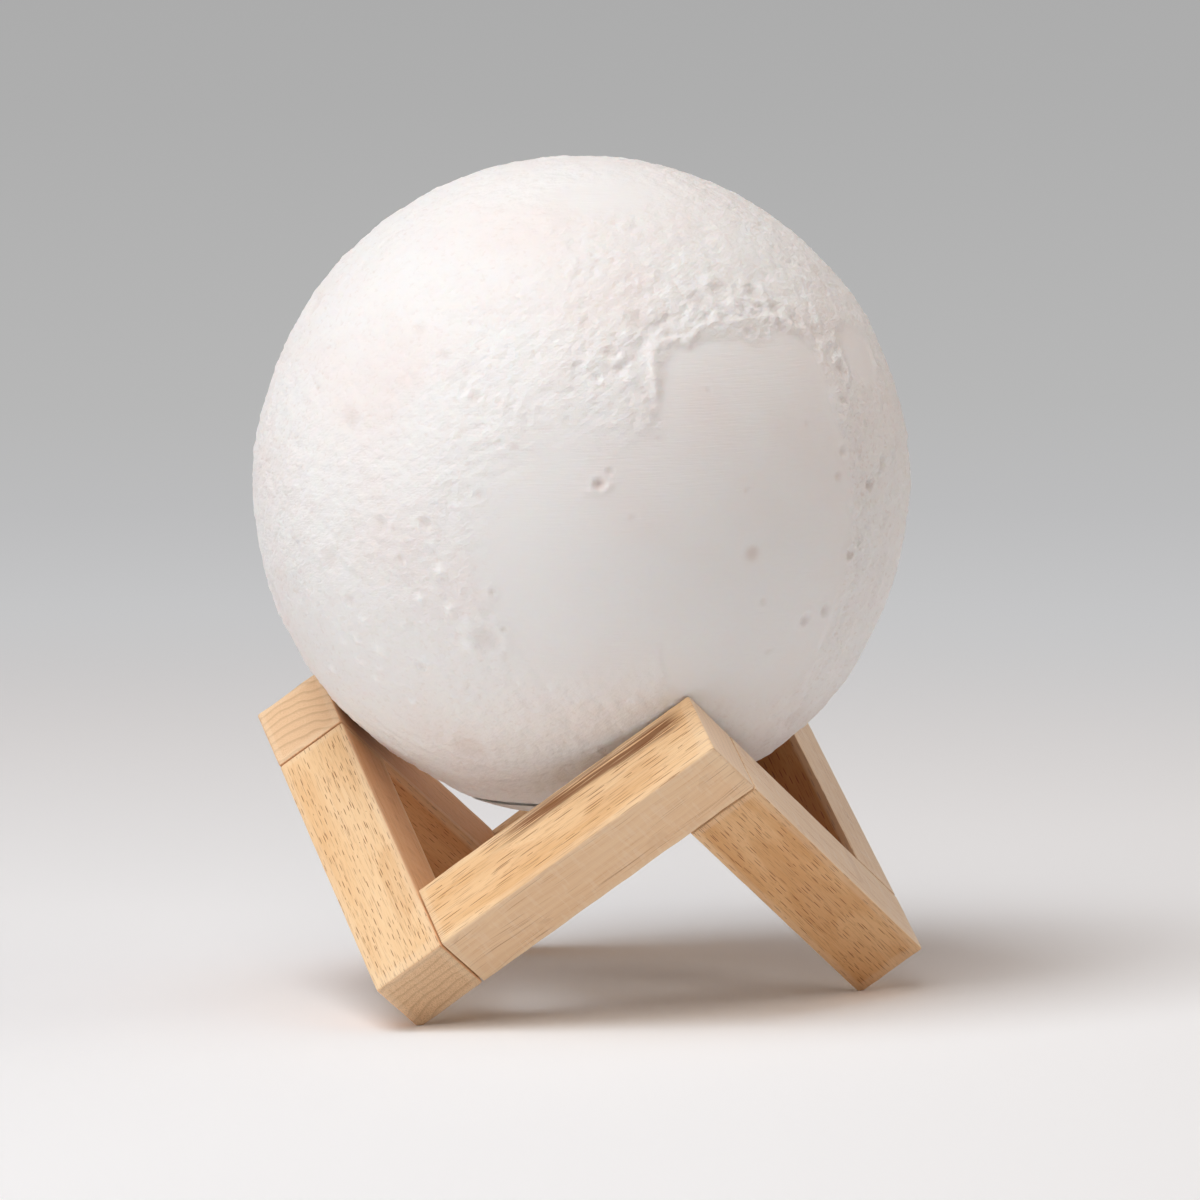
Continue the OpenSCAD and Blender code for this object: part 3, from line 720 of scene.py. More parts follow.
@dataclass(frozen=True)
class WorkedMetal:
    """Metal with the marks of its making: turned rings, drawn lines or an even plated skin."""

    name: str
    colour: str
    shade: str
    roughness: float
    lay: Lay
    pitch_mm: float = 0.25
    depth_mm: float = 0.006

    def material(self) -> bpy.types.Material:
        """Makes the metal."""
        material, tree = new_material(self.name)
        place, pitch = place_mm(tree), self.pitch_mm
        sizes = {Lay.ROUND: (pitch, 2.0, 4.0), Lay.ALONG_Z: (pitch, pitch, 6.0), Lay.EVEN: pitch}[self.lay]
        if self.lay is Lay.ROUND:
            x, y, z = split(place)
            place = joined(calc("SQRT", x**2.0 + y**2.0), calc("ARCTAN2", y, x), z)
        marks = grain(place, sizes, 3.0, 0.6)
        return surfaced(material, {
            "Base Color": between(marks, self.colour, self.shade), "Metallic": 1.0,
            "Roughness": ramp(marks, 0.25, 0.75, (self.roughness - 0.06, self.roughness + 0.1)),
            "Normal": bump(marks * self.depth_mm)})


@dataclass(frozen=True)
class ClearPlastic:
    """Clear or frosted plastic: light goes through it, scattered by the frost of its skin."""

    name: str
    colour: str
    frost: float
    share_through: float
    grain_mm: float = 0.4

    def material(self) -> bpy.types.Material:
        """Makes the plastic."""
        material, tree = new_material(self.name)
        frost = grain(place_mm(tree), self.grain_mm, 3.0)
        return surfaced(material, {
            "Base Color": between(ramp(frost, 0.3, 0.7), self.colour, "#ffffff"),
            "Roughness": ramp(frost, 0.3, 0.7, (self.frost, self.frost + 0.12)), "IOR": 1.49,
            "Transmission Weight": self.share_through, "Normal": bump(frost * (0.02 * self.frost))})


@dataclass(frozen=True)
class CircuitBoard:
    """Glass-epoxy board under solder mask: glossy, with the tracks standing up a little under the lacquer."""

    name: str
    mask: str
    track: str
    cell_mm: float = 3.2
    track_mm: float = 0.3
    depth_mm: float = 0.035

    def material(self) -> bpy.types.Material:
        """Makes the lacquered board."""
        material, tree = new_material(self.name)
        place = place_mm(tree)
        cells = vector("DIVIDE", place, (self.cell_mm,) * 3)
        squares = strewn(cells, 0.6, feature="DISTANCE_TO_EDGE", voronoi_dimensions="2D")
        half = 0.5 * self.track_mm / self.cell_mm
        tracks = ramp(squares["Distance"], half, 1.4 * half, (1.0, 0.0))
        weave = grain(place, 0.5)
        return surfaced(material, {
            "Base Color": laid(between(tracks, self.mask, self.track), self.track, weave * 0.2),
            "Roughness": ramp(weave, 0.3, 0.7, (0.22, 0.34)), "Normal": bump(tracks * self.depth_mm)})


@dataclass(frozen=True)
class SoftStuff:
    """Foam, foil or wire jacket: one colour that shifts a little, with lumps of its own size."""

    name: str
    colour: str
    shade: str
    lump_mm: float
    depth_mm: float
    roughness: float
    metallic: float = 0.0
    second: str = ""

    def material(self) -> bpy.types.Material:
        """Makes the stuff. A second colour takes the side of positive Y, as in a pair of wires."""
        material, tree = new_material(self.name)
        place = place_mm(tree)
        relief = grain(place, self.lump_mm, 3.0, 0.6)
        colour: Any = linear(self.colour)
        if self.second:
            colour = between(calc("GREATER_THAN", split(place)[1], 0.0), self.colour, self.second)
        return surfaced(material, {
            "Base Color": laid(colour, self.shade, ramp(relief, 0.4, 0.75)), "Metallic": self.metallic,
            "Roughness": ramp(relief, 0.3, 0.7, (self.roughness - 0.06, self.roughness + 0.1)),
            "Normal": bump(relief * self.depth_mm)})


# ---------------------------------------------------------------- stand


class BarRole(Enum):
    """What a bar does: it carries the globe or stands on the table."""

    SEAT = "seat_bar"
    LEG = "leg_bar"


@dataclass
class WoodenStand:
    """Six equal square bars, butt-jointed round a closed zigzag along the edges of a cube on its corner."""

    side: float = 18 * MM
    length: float = 76 * MM
    turn: float = 52.0
    edge: float = 0.65 * MM
    butt_edge: float = 0.25 * MM
    seam: float = 0.34 * MM
    wear: float = 0.4
    wear_lumps: float = 130.0
    crowding: float = 1.7
    along: int = 60
    across: int = 20
    finish: BeechFinish = field(default_factory=BeechFinish)
    woods: dict[str, BarWood] = field(default_factory=lambda: {
        # seat_bar_1's sawn end is paled as painted light
        "seat_bar_1": BarWood(1.0, 82.0, 4.0, ("#fff3e2", "#fff8ee"), streaked=True, fleck_stretch=2.2,
                              end_painted_light=0.5),
        # The first tone of seat_bar_2 and the second of seat_bar_3 are painted shade on their inner sides
        "seat_bar_2": BarWood(2.3, 95.0, -8.0, ("#a8835f", "#ffffff"), turned=True, fleck_stretch=1.2),
        "seat_bar_3": BarWood(3.1, 66.0, 12.0, ("#f4ceab", "#d5ac8a")),
        "leg_bar_1": BarWood(4.7, 90.0, -3.0, ("#ffdcb8", "#fdf8f0")),
        "leg_bar_2": BarWood(5.9, 74.0, 7.0, ("#f2dec8", "#ffffff"), turned=True, fleck_stretch=1.35),
        "leg_bar_3": BarWood(6.4, 90.0, -10.0, ("#f4e6d8", "#ffffff"), turned=True),
    })

    def bar_place(self, role: BarRole, number: int) -> Matrix:
        """Finds a bar's place: its middle, with the first axis from its butt end to its free end.

        Args:
            role: What the bar does.
            number: Which of the three.

        Returns:
            The place as a matrix.
        """
        axis = self.length / 2
        diagonal = Vector((1, 1, 1)).normalized()
        near, far = axis - self.side / 2, axis + self.side / 2
        foot_cut = 0.9 * MM
        stand_z = (2 * far - near) / math.sqrt(3) - foot_cut
        cube = (
            Matrix.Translation((0, 0, stand_z))
            @ Matrix.Rotation(math.radians(self.turn), 4, "Z")
            @ Matrix.Rotation(-math.acos(1 / math.sqrt(3)), 4, "Y")
            @ Matrix.Rotation(math.radians(-45), 4, "Z")
            @ Matrix.Rotation(math.radians(120 * (number - 1)), 4, diagonal)
        )
        if role is BarRole.SEAT:
            bar = Matrix.Translation((0, -axis, axis))
        else:
            bar = Matrix.Translation((-axis, 0, axis)) @ Matrix.Rotation(math.radians(-90), 4, "Z")
        return cube @ bar @ Matrix.Translation((axis - near, 0, 0))

    def bar_tree(self) -> bpy.types.NodeTree:
        """Makes the geometry tree of a square bar with eased edges.

        Returns:
            The tree, whose bar lies along X with its butt end at low X.
        """
        number, whole = "NodeSocketFloat", "NodeSocketInt"
        tree, given = geometry_tree("square_bar", {
            "Length": (number, self.length), "Side": (number, self.side), "Edge Radius": (number, self.edge),
            "Butt Radius": (number, self.butt_edge), "Wear": (number, self.wear), "Seed": (number, 0.0),
            "Along": (whole, self.along), "Across": (whole, self.across),
            "Material": ("NodeSocketMaterial", None)})
        ones = (1.0, 1.0, 1.0)
        size = joined(given["Length"], given["Side"], given["Side"])
        across = given["Across"]
        counts = {"Size": size, "Vertices X": given["Along"], "Vertices Y": across, "Vertices Z": across}
        block = read(tree, "GeometryNodeMeshCube", counts, "Mesh")
        half = scaled(size, 0.5)
        share = vector("DIVIDE", read(tree, "GeometryNodeInputPosition"), half)
        # Lines of the grid crowd towards the edges, where the surface bends
        left = vector("SUBTRACT", ones, vector("ABSOLUTE", share))
        crowded = vector("SUBTRACT", ones, vector("POWER", left, (self.crowding,) * 3))
        grid = vector("MULTIPLY", vector("MULTIPLY", vector("SIGN", share), crowded), half)

        lump = vector("ADD", scaled(grid, self.wear_lumps), joined(*(given["Seed"],) * 3))
        radius = given["Edge Radius"] * (1.0 + (cloud(lump) - 0.5) * (given["Wear"] * 4.0))
        at_free_end = calc("GREATER_THAN", split(grid)[0], 0.0)
        ends = {"Switch": at_free_end, "False": given["Butt Radius"], "True": radius}
        radii = joined(read(tree, "GeometryNodeSwitch", ends, input_type="FLOAT"), radius, radius)

        core = vector("SUBTRACT", half, radii)
        inner = vector("MINIMUM", core, vector("MAXIMUM", scaled(core, -1.0), grid))
        away = vector("NORMALIZE", vector("DIVIDE", vector("SUBTRACT", grid, inner), radii))
        rounded = vector("ADD", inner, vector("MULTIPLY", away, radii))
        shaped = read(tree, "GeometryNodeSetPosition", {"Geometry": block, "Position": rounded})
        sharpness = ramp(vector("DOT_PRODUCT", vector("ABSOLUTE", away), ones, key=1), 1.02, 1.3)
        inputs = {"Geometry": shaped, "Name": "edge", "Value": sharpness}
        edged = read(tree, "GeometryNodeStoreNamedAttribute", inputs, data_type="FLOAT", domain="POINT")
        end_tree(edged, given["Material"])
        return tree

    def build(self) -> list[bpy.types.Object]:
        """Makes and dresses the six bars, and dresses the dowels.

        Returns:
            The bars.
        """
        tree = self.bar_tree()
        bars = []
        for role in BarRole:
            for number in (1, 2, 3):
                node = f"{role.value}_{number}"
                bars.append(self.bar(tree, node, self.bar_place(role, number)))
        dowel_finish = MouldedPlastic("beech_dowel_turned", "#dcb27c", "#cfa268", 0.6, 0.5, 0.03)
        dress(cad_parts["stand_dowels"], dowel_finish.material())
        return bars

    def bar(self, tree: bpy.types.NodeTree, node: str, place: Matrix) -> bpy.types.Object:
        """Makes one bar in its place.

        Args:
            tree: The tree that shapes a bar.
            node: The node that the bar stands for.
            place: The bar's place.

        Returns:
            The bar.
        """
        wood = self.woods[node]
        piece = mesh_piece(f"wood_{node}", np.zeros((0, 3)), [])
        apply_nodes(piece, tree, {
            "Length": self.length - self.seam, "Seed": 10 * wood.seed,
            "Material": self.finish.material(f"beech_oiled_{node}", place, wood)})
        piece.data.transform(place @ Matrix.Translation((self.seam / 2, 0, 0)))
        for vertex in piece.data.vertices:
            vertex.co.z = max(vertex.co.z, 0.0)
        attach(piece, "stand")
        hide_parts(node)
        return piece


# ---------------------------------------------------------------- globe


@dataclass(frozen=True)
class Basin:
    """A wide smooth plain: middle and half widths in degrees, how square it is, and its border's height."""

    lon: float
    lat: float
    half_lon: float
    half_lat: float
    square: float = 2.0
    border_mm: float = 0.1
    soft: float = 0.16


@dataclass(frozen=True)
class Crater:
    """A round dish with a raised rim and painted shade in its bowl. Degrees of arc and millimetres. A
    negative depth makes a knob.
    """

    lon: float
    lat: float
    radius: float
    depth_mm: float = 0.5
    rim_mm: float = 0.2
    bowl_shade: float = 0.15


@dataclass(frozen=True)
class Ridge:
    """A raised line over the ground, or a groove if its height is negative."""

    points: tuple[Pair, ...]
    width: float
    height_mm: float


@dataclass
class MoonGlobe:
    """The printed shell: basins, craters, ridges and rough highlands on a thin ball with a round opening."""

    radius: float = 75 * MM
    wall: float = 2 * MM
    opening: float = 25 * MM
    plain_mm: float = 0.4
    highland_mm: float = 0.1
    lip_mm: float = 0.75
    grid: int = 118
    inner_grid: int = 24
    focus: Pair = (12.0, 8.0)
    crowding: float = 1.55
    coast_sway: float = 0.06
    belt_width: float = 6.0
    crater_reach: float = 2.2
    bowl_width: float = 0.75
    rim_at: float = 1.1
    rim_width: float = 0.34
    knob_highlight: float = 0.65
    seed: int = 7
    finish: PrintedPla = field(default_factory=PrintedPla)
    basins: tuple[Basin, ...] = tuple(Basin(*row) for row in (
        (2, -9, 23, 29, 2.6, 0.0, 0.4), (34, -4, 20.5, 35.5, 4.5, 0.0, 0.1), (16, 1, 14, 15, 3, 0.0, 0.3),
        (10, 64, 15, 9, 2, 0.0, 0.7), (100, -18, 21, 20, 2.4, 0.2), (-110, 20, 25, 22, 2.3, 0.2),
        (160, 10, 24, 20, 2.4, 0.2), (-160, -28, 18, 15, 2.2, 0.2), (68, 24, 8, 7, 2, 0.06, 0.4)))
    craters: tuple[Crater, ...] = tuple(Crater(*row) for row in (
        (6.8, 27.4, 1.7, 0.32, 0.14), (13, 33, 2.6, 0.28, 0.16), (18.5, 30.8, 1.3, 0.28, 0.12),
        (27.1, 37, 2.0, 0.4, 0.2), (33.2, 38.4, 2.6, 0.26, 0.22), (34, 35, 1.6, -0.4, 0),
        (41.9, 37.5, 2.0, 0.45, 0.24), (38.6, 34, 1.2, -0.4, 0), (45.5, 34, 1.9, 0.4, 0.22),
        (49.9, 31.5, 1.6, 0.42, 0.22), (54.5, 28.5, 1.9, 0.42, 0.22), (57.5, 21.5, 1.8, 0.45, 0.24),
        (55.5, 16.1, 1.6, 0.4, 0.18), (20.5, 38.5, 1.5, -0.35, 0), (2.5, 33, 1.5, 0.22, 0.14),
        (31, 40.5, 1.4, -0.3, 0), (24, 33.6, 1.2, -0.32, 0), (29.5, 33.4, 1.1, -0.34, 0),
        (44.5, 38.5, 1.3, -0.34, 0), (50, 34.5, 1.3, -0.32, 0), (56.5, 31.5, 1.2, -0.3, 0),
        (59, 24.5, 1.3, -0.32, 0), (15.8, 34.8, 1.1, -0.28, 0), (9.5, 30.5, 1.1, -0.26, 0),
        (3.6, 4.6, 1.3, 0.7, 0.16, 0.35), (5.3, 6.8, 0.9, 0.3, 0.08), (29.8, 2.5, 0.6, 0.35, 0.05),
        (31, -8.2, 1.8, 0.25, 0.03, 0.42), (34.5, -17, 0.9, 0.25, 0.1), (38.5, -26.8, 0.9, 0.3, 0.1),
        (8.9, -1.1, 0.8, 0.16, 0.1), (65.1, 4.7, 1.4, 0.95, 0.35), (59.9, 1.5, 1.6, 1.05, 0.35),
        (45.5, -21.2, 1.4, 0.7, 0.3), (50.5, -19.8, 1.3, 0.7, 0.3), (54.3, -10, 1.3, 0.8, 0.35),
        (57, -8, 1.0, 0.6, 0.25), (52.5, 7.5, 1.1, 0.6, 0.25), (50.5, 3.5, 1.0, 0.5, 0.2),
        (44, 13, 0.7, 0.2, 0.1), (24, 20, 0.6, 0.16, 0.1), (14, 12, 0.6, 0.2, 0.1),
        (-43.2, -19.9, 1.4, -0.7, 0), (-24.8, -10.1, 1.3, -0.7, 0), (-23.8, -16.9, 1.2, -0.7, 0),
        (-22.1, -20.5, 1.0, -0.6, 0), (-17.5, -22.4, 3.0, 0.3, 0.3), (-14.2, -20.3, 0.8, 0.4, 0.15),
        (-32.4, -8.3, 1.2, 0.35, 0.25), (-29.4, -15.2, 1.0, -0.6, 0), (-41.6, -25.2, 1.6, -0.7, 0),
        (-45.6, -16, 1.4, 0.35, 0.25), (-27, -2, 1.5, 0.35, 0.2), (-36, -2.5, 1.8, 0.35, 0.2),
        (-51.6, -24, 1.2, -0.6, 0), (-49, -27.9, 1.3, -0.65, 0), (-43.9, -29.1, 1.0, -0.55, 0),
        (-38.8, -35.8, 1.1, -0.5, 0), (-60.9, -30.5, 1.3, -0.55, 0), (-21.5, -23.8, 1.6, -0.6, 0),
        (-47, -23.5, 0.9, -0.5, 0), (-34, -20, 1.0, -0.5, 0), (-46.5, -31.5, 0.9, -0.5, 0),
        (-33, -28, 1.1, 0.4, 0.2), (-26, -5.5, 1.0, -0.5, 0), (-15.5, -13.5, 0.8, 0.4, 0.15),
        (-32.8, 31.7, 1.6, 0.3, 0.15), (-26, 27, 1.3, 0.3, 0.15), (-21, 24, 1.0, 0.25, 0.15),
        (-18.5, 19.5, 1.5, 0.3, 0.15), (-14, 18.8, 1.0, 0.25, 0.1), (-44.3, 15.1, 2.6, 0.25, 0.15),
        (-48.9, -9.1, 2.2, 0.25, 0.15), (-11, 11, 0.8, 0.16, 0.1), (-17, 3, 1.2, 0.2, 0.12),
        (96, 32, 4.4, 0.8, 0.35), (130, 44, 3.6, 0.7, 0.3), (-140, 50, 4.2, 0.8, 0.35),
        (-78, -18, 4.0, 0.7, 0.3), (175, -44, 4.6, 0.8, 0.35), (128, -8, 3.4, 0.7, 0.3),
        (-100, 55, 3.2, 0.6, 0.3), (60, -44, 3.6, 0.5, 0.25), (-30, -48, 3.8, 0.4, 0.2),
        (-75, 35, 2.8, 0.5, 0.25), (96, 32, 1.1, -0.35, 0), (-140, 50, 1.1, -0.35, 0),
        (175, -44, 1.2, -0.35, 0)))
    ridges: tuple[Ridge, ...] = (
        Ridge(((14.4, 19.5), (14.2, 22.5), (14.4, 26.5), (15.8, 28.7), (19.0, 29.3), (22, 28.4)), 0.7, 0.42),
        Ridge(((22, 28.6), (24.5, 31), (29, 32.3), (33, 32.0), (38, 32.6), (44, 32.0)), 0.6, 0.3),
        Ridge(((44, 32.0), (49, 29.5), (53, 25), (55, 19.5), (55.5, 14)), 0.7, 0.26),
        Ridge(((11.6, 27.5), (11.2, 24), (11.4, 20.5)), 1.2, -0.22),
        Ridge(((14.6, 31.6), (19.5, 32.2), (22.5, 34)), 0.9, -0.22),
        Ridge(((14.0, 15.5), (14.2, 17.5), (14.4, 19.5)), 0.9, 0.12),
        Ridge(((8, 24.5), (11, 26), (13, 29), (16, 31.5), (19, 33.5)), 0.8, -0.3),
        Ridge(((-2, 23), (3, 23.5), (8, 24)), 1.0, -0.2),
        Ridge(((53, 6), (54, -4), (53.5, -11), (52.4, -18), (51.6, -25.6), (53, -36)), 1.0, 0.4),
        Ridge(((56.5, 8), (57.5, -3), (57, -13), (56.5, -23), (57.5, -34)), 0.8, -0.35),
        Ridge(((61, -6), (61.5, -16), (61.5, -26), (63, -38)), 0.9, 0.4),
        Ridge(((66, -2), (67, -14), (67.5, -26), (70, -38)), 1.0, -0.4),
        Ridge(((72, 12), (73, 0), (74, -14), (75, -28)), 1.1, 0.4),
        Ridge(((-10, 8), (-14, 6), (-19, 6.5)), 0.7, -0.12),
        Ridge(((1.6, 3.4), (3.4, 3.6), (5.5, 4.6)), 0.5, 0.3))
    belt: tuple[Pair, ...] = (
        (2, 27), (9, 31), (16, 34), (24, 35.5), (32, 36.5), (40, 35.5), (47, 32.5), (53, 28.5), (56.5, 22),
        (56.5, 15), (55.5, 6), (56, -4), (57, -14), (57, -25), (58, -38))

    @property
    def centre(self) -> Vector:
        """Middle of the globe, from the bottom of its node at the opening."""
        low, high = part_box("globe_shell")
        return Vector((0, 0, low.z + math.sqrt(self.radius**2 - self.opening**2)))

    @staticmethod
    def toward(lon: float, lat: float) -> np.ndarray:
        """Points from the middle of the globe at a longitude and a latitude, in degrees."""
        a, b = math.radians(lon), math.radians(lat)
        return np.array([math.cos(b) * math.sin(a), -math.cos(b) * math.cos(a), math.sin(b)])

    def ball(self, count: int, crowding: float) -> tuple[np.ndarray, list[list[int]]]:
        """Makes a ball of square faces, crowded towards the side that shows most.

        Args:
            count: Faces along each edge of the cube that the ball is blown up from.
            crowding: How much finer the faces are at the focus than on average.

        Returns:
            Unit vectors to the points, and the faces.
        """
        steps = np.tan(np.linspace(-math.pi / 4, math.pi / 4, count + 1))
        a, b = np.meshgrid(steps, steps, indexing="ij")
        one = np.ones_like(a)
        sides = [(one, a, b), (-one, b, a), (b, one, a), (a, -one, b), (a, b, one), (b, a, -one)]
        points = np.concatenate([np.stack(s, -1).reshape(-1, 3) for s in sides])
        points /= np.linalg.norm(points, axis=1, keepdims=True)
        _, first, same = np.unique(points.round(7), axis=0, return_index=True, return_inverse=True)
        i, j = np.meshgrid(np.arange(count), np.arange(count), indexing="ij")
        corner = (i * (count + 1) + j).ravel()
        quad = np.stack([corner, corner + count + 1, corner + count + 2, corner + 1], -1)
        faces = np.concatenate([quad + s * (count + 1) ** 2 for s in range(6)])
        points, faces = points[first], same.ravel()[faces]
        pole = self.toward(*self.focus)
        height = points @ pole
        flat = points - np.outer(height, pole)
        spread = np.sqrt((1 - height) / (1 + height + 1e-9)) / crowding
        new_height = (1 - spread**2) / (1 + spread**2)
        scale = np.sqrt(np.maximum(1 - new_height**2, 0) / np.maximum(1 - height**2, 1e-12))
        return flat * scale[:, None] + np.outer(new_height, pole), faces.tolist()

    def angle_to(self, points: np.ndarray, lon: float, lat: float) -> np.ndarray:
        """Measures the arc from each unit vector to a place, in degrees."""
        chord = np.linalg.norm(points - self.toward(lon, lat), axis=1)
        return np.degrees(2 * np.arcsin(np.clip(chord / 2, 0, 1)))

    def line_distance(self, points: np.ndarray, line: Sequence[Pair]) -> np.ndarray:
        """Measures the arc from each unit vector to a line of places, in degrees.

        Args:
            points: Unit vectors, one a row.
            line: Longitudes and latitudes along the line.

        Returns:
            The distance for each point.
        """
        corners = [self.toward(*place) for place in line]
        best = np.full(len(points), 9.0)
        for start, end in zip(corners, corners[1:]):
            way = end - start
            t = np.clip((points - start) @ way / (way @ way), 0, 1)
            best = np.minimum(best, np.linalg.norm(points - start - t[:, None] * way, axis=1))
        return np.degrees(best)

    def plains(self, points: np.ndarray, lon: np.ndarray, lat: np.ndarray) -> tuple[np.ndarray, np.ndarray]:
        """Finds the smooth basins, whose coasts wander.

        Args:
            points: Unit vectors, one a row.
            lon: Their longitudes in degrees.
            lat: Their latitudes in degrees.

        Returns:
            How far each point lies in a basin, 0 to 1, and the height of the basins' borders in millimetres.
        """
        coast = lumps(points, 0.16, 4, 3.1)
        fade = smoothstep(-0.9, 0.4, coast)
        plain, border = np.zeros(len(points)), np.zeros(len(points))
        for basin in self.basins:
            east = (lon - basin.lon + 180) % 360 - 180
            x = np.abs(east * np.cos(np.radians((lat + basin.lat) / 2))) / basin.half_lon
            y = np.abs(lat - basin.lat) / basin.half_lat
            reach = (x**basin.square + y**basin.square) ** (1 / basin.square) + self.coast_sway * coast
            plain = np.maximum(plain, 1 - smoothstep(1 - basin.soft, 1.0, reach))
            border = np.maximum(border, basin.border_mm * fade * np.exp(-(((reach - 1.03) / 0.045) ** 2)))
        return plain, border

    def dig(self, points: np.ndarray, height: np.ndarray) -> np.ndarray:
        """Lays craters, knobs, ridges and grooves over the ground.

        Args:
            points: Unit vectors, one a row.
            height: The ground's height in millimetres, which is changed in place.

        Returns:
            The painted shade in each pit, or below zero the painted highlight on each knob.
        """
        pit_shade_knob_light = np.zeros(len(points))
        for crater in self.craters:
            t = self.angle_to(points, crater.lon, crater.lat) / crater.radius
            near = t < self.crater_reach
            bowl = np.exp(-((t[near] / self.bowl_width) ** (3 if crater.depth_mm > 0 else 2)))
            height[near] -= crater.depth_mm * bowl
            height[near] += crater.rim_mm * np.exp(-(((t[near] - self.rim_at) / self.rim_width) ** 2))
            # Pit bowls take painted shade and knob tops a painted highlight
            if crater.depth_mm > 0:
                pit_shade_knob_light[near] = np.maximum(pit_shade_knob_light[near], crater.bowl_shade * bowl)
            else:
                pit_shade_knob_light[near] -= self.knob_highlight * bowl
        for ridge in self.ridges:
            distance = self.line_distance(points, ridge.points)
            height += ridge.height_mm * np.exp(-((distance / ridge.width) ** 2))
        return pit_shade_knob_light

    def relief(self, points: np.ndarray) -> dict[str, np.ndarray]:
        """Works out the placed relief.

        Args:
            points: Unit vectors, one a row.

        Returns:
            The height in millimetres, how rough the ground is, and the painted shade in pits and highlight on
            knobs.
        """
        lon = np.degrees(np.arctan2(points[:, 0], -points[:, 1]))
        lat = np.degrees(np.arcsin(np.clip(points[:, 2], -1, 1)))
        plain, border = self.plains(points, lon, lat)
        hills = 0.2 * lumps(points, 0.22, 3, 8.4) + 0.22 * lumps(points, 0.075, 3, 2.2)
        height = (hills - self.highland_mm) * (1 - plain) - self.plain_mm * plain + border

        belt_distance = self.line_distance(points, self.belt)
        belt = np.exp(-((belt_distance / self.belt_width) ** 2)) * (1 - 0.95 * smoothstep(0.3, 0.9, plain))
        belt = belt * smoothstep(-60, 5, lat) * (0.55 + 0.45 * smoothstep(8, 26, lon))
        sides = smoothstep(50, 60, np.abs(lon)) * (1 - smoothstep(85, 110, np.abs(lon))) * (1 - plain)
        rough = 0.75 * (1 - plain) + 0.5 * belt + 0.55 * sides + 0.06
        height += (belt + sides) * (0.1 * lumps(points, 0.05, 3, 5.5) + 0.12 * lumps(points, 0.025, 1, 1.7))
        height += (1 - plain) * (0.14 * lumps(points, 0.036, 2, 6.1) + 0.1 * lumps(points, 0.022, 1, 9.3))
        pit_shade_knob_light = self.dig(points, height)
        # The ground is level under the cap's flange, with a low lip round it
        ground = smoothstep(-69.5, -64, lat)
        lip = self.lip_mm * smoothstep(-68.9, -67.9, lat) * (1 - smoothstep(-67.9, -62.5, lat))
        height = height * ground + lip
        return {"height": height, "rough": np.clip(rough, 0, 1.6) * ground, "pit_shade_knob_light": np.clip(pit_shade_knob_light, -1, 1)}

    def ground_tree(self) -> bpy.types.NodeTree:
        """Makes the geometry tree that roughens the ground and strews small craters over the highlands.

        Returns:
            The tree, which works on a ball round the origin.
        """
        number = "NodeSocketFloat"
        tree, given = geometry_tree("moon_ground", {
            "Crater Spacing": (number, 7.0), "Crater Depth": (number, 0.32), "Lump Size": (number, 2.6),
            "Lump Height": (number, 0.3), "Seed": ("NodeSocketInt", 0),
            "Material": ("NodeSocketMaterial", None)})
        place = vector("DIVIDE", read(tree, "GeometryNodeInputPosition"), (MM, MM, MM))
        seed = given["Seed"] * 13.7
        moved = vector("ADD", place, joined(seed, seed, seed))
        rough = read(tree, "GeometryNodeInputNamedAttribute", {"Name": "rough"}, data_type="FLOAT")
        total: Any = 0.0
        for layer, share in enumerate((1.0, 0.6)):
            spots = strewn(scaled(moved, 1.0 / (given["Crater Spacing"] * share)), 1.0)
            size = ramp(split(spots["Color"])[layer], 0.35, 1.0, (0.14, 0.42))
            t = spots["Distance"] / size
            rim = ramp(t, 0.75, 1.05) * ramp(t, 1.45, 1.05)
            dish = rim * 0.35 - ramp(t, 0.35, 1.0, (1.0, 0.0))
            total = total + dish * (given["Crater Depth"] * share)
        lumpy = cloud(scaled(moved, 1.0 / given["Lump Size"]), 1.4) - 0.5
        total = total + lumpy * given["Lump Height"]
        offset = scaled(vector("NORMALIZE", place), total * rough * MM)
        shaped = read(tree, "GeometryNodeSetPosition", {"Geometry": given["Geometry"], "Offset": offset})
        end_tree(shaped, given["Material"])
        return tree

    def build(self) -> bpy.types.Object:
        """Makes and dresses the shell.

        Returns:
            The shell.
        """
        points, faces = self.ball(self.grid, self.crowding)
        facts = self.relief(points)
        outside = points * (self.radius + facts["height"] * MM)[:, None]
        piece = mesh_piece("moon_globe", outside, faces)
        for name in ("rough", "pit_shade_knob_light"):
            attribute = piece.data.attributes.new(name, "FLOAT", "POINT")
            attribute.data.foreach_set("value", facts[name].astype(np.float32))
        apply_nodes(piece, self.ground_tree(), {
            "Crater Spacing": 4.2, "Crater Depth": 0.28, "Lump Size": 2.2, "Lump Height": 0.6,
            "Seed": self.seed, "Material": self.finish.material(tuple(self.centre))})
        self.hollow_out(piece)
        piece.data.transform(Matrix.Translation(self.centre))
        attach(piece, "globe")
        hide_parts("globe_shell")
        return piece

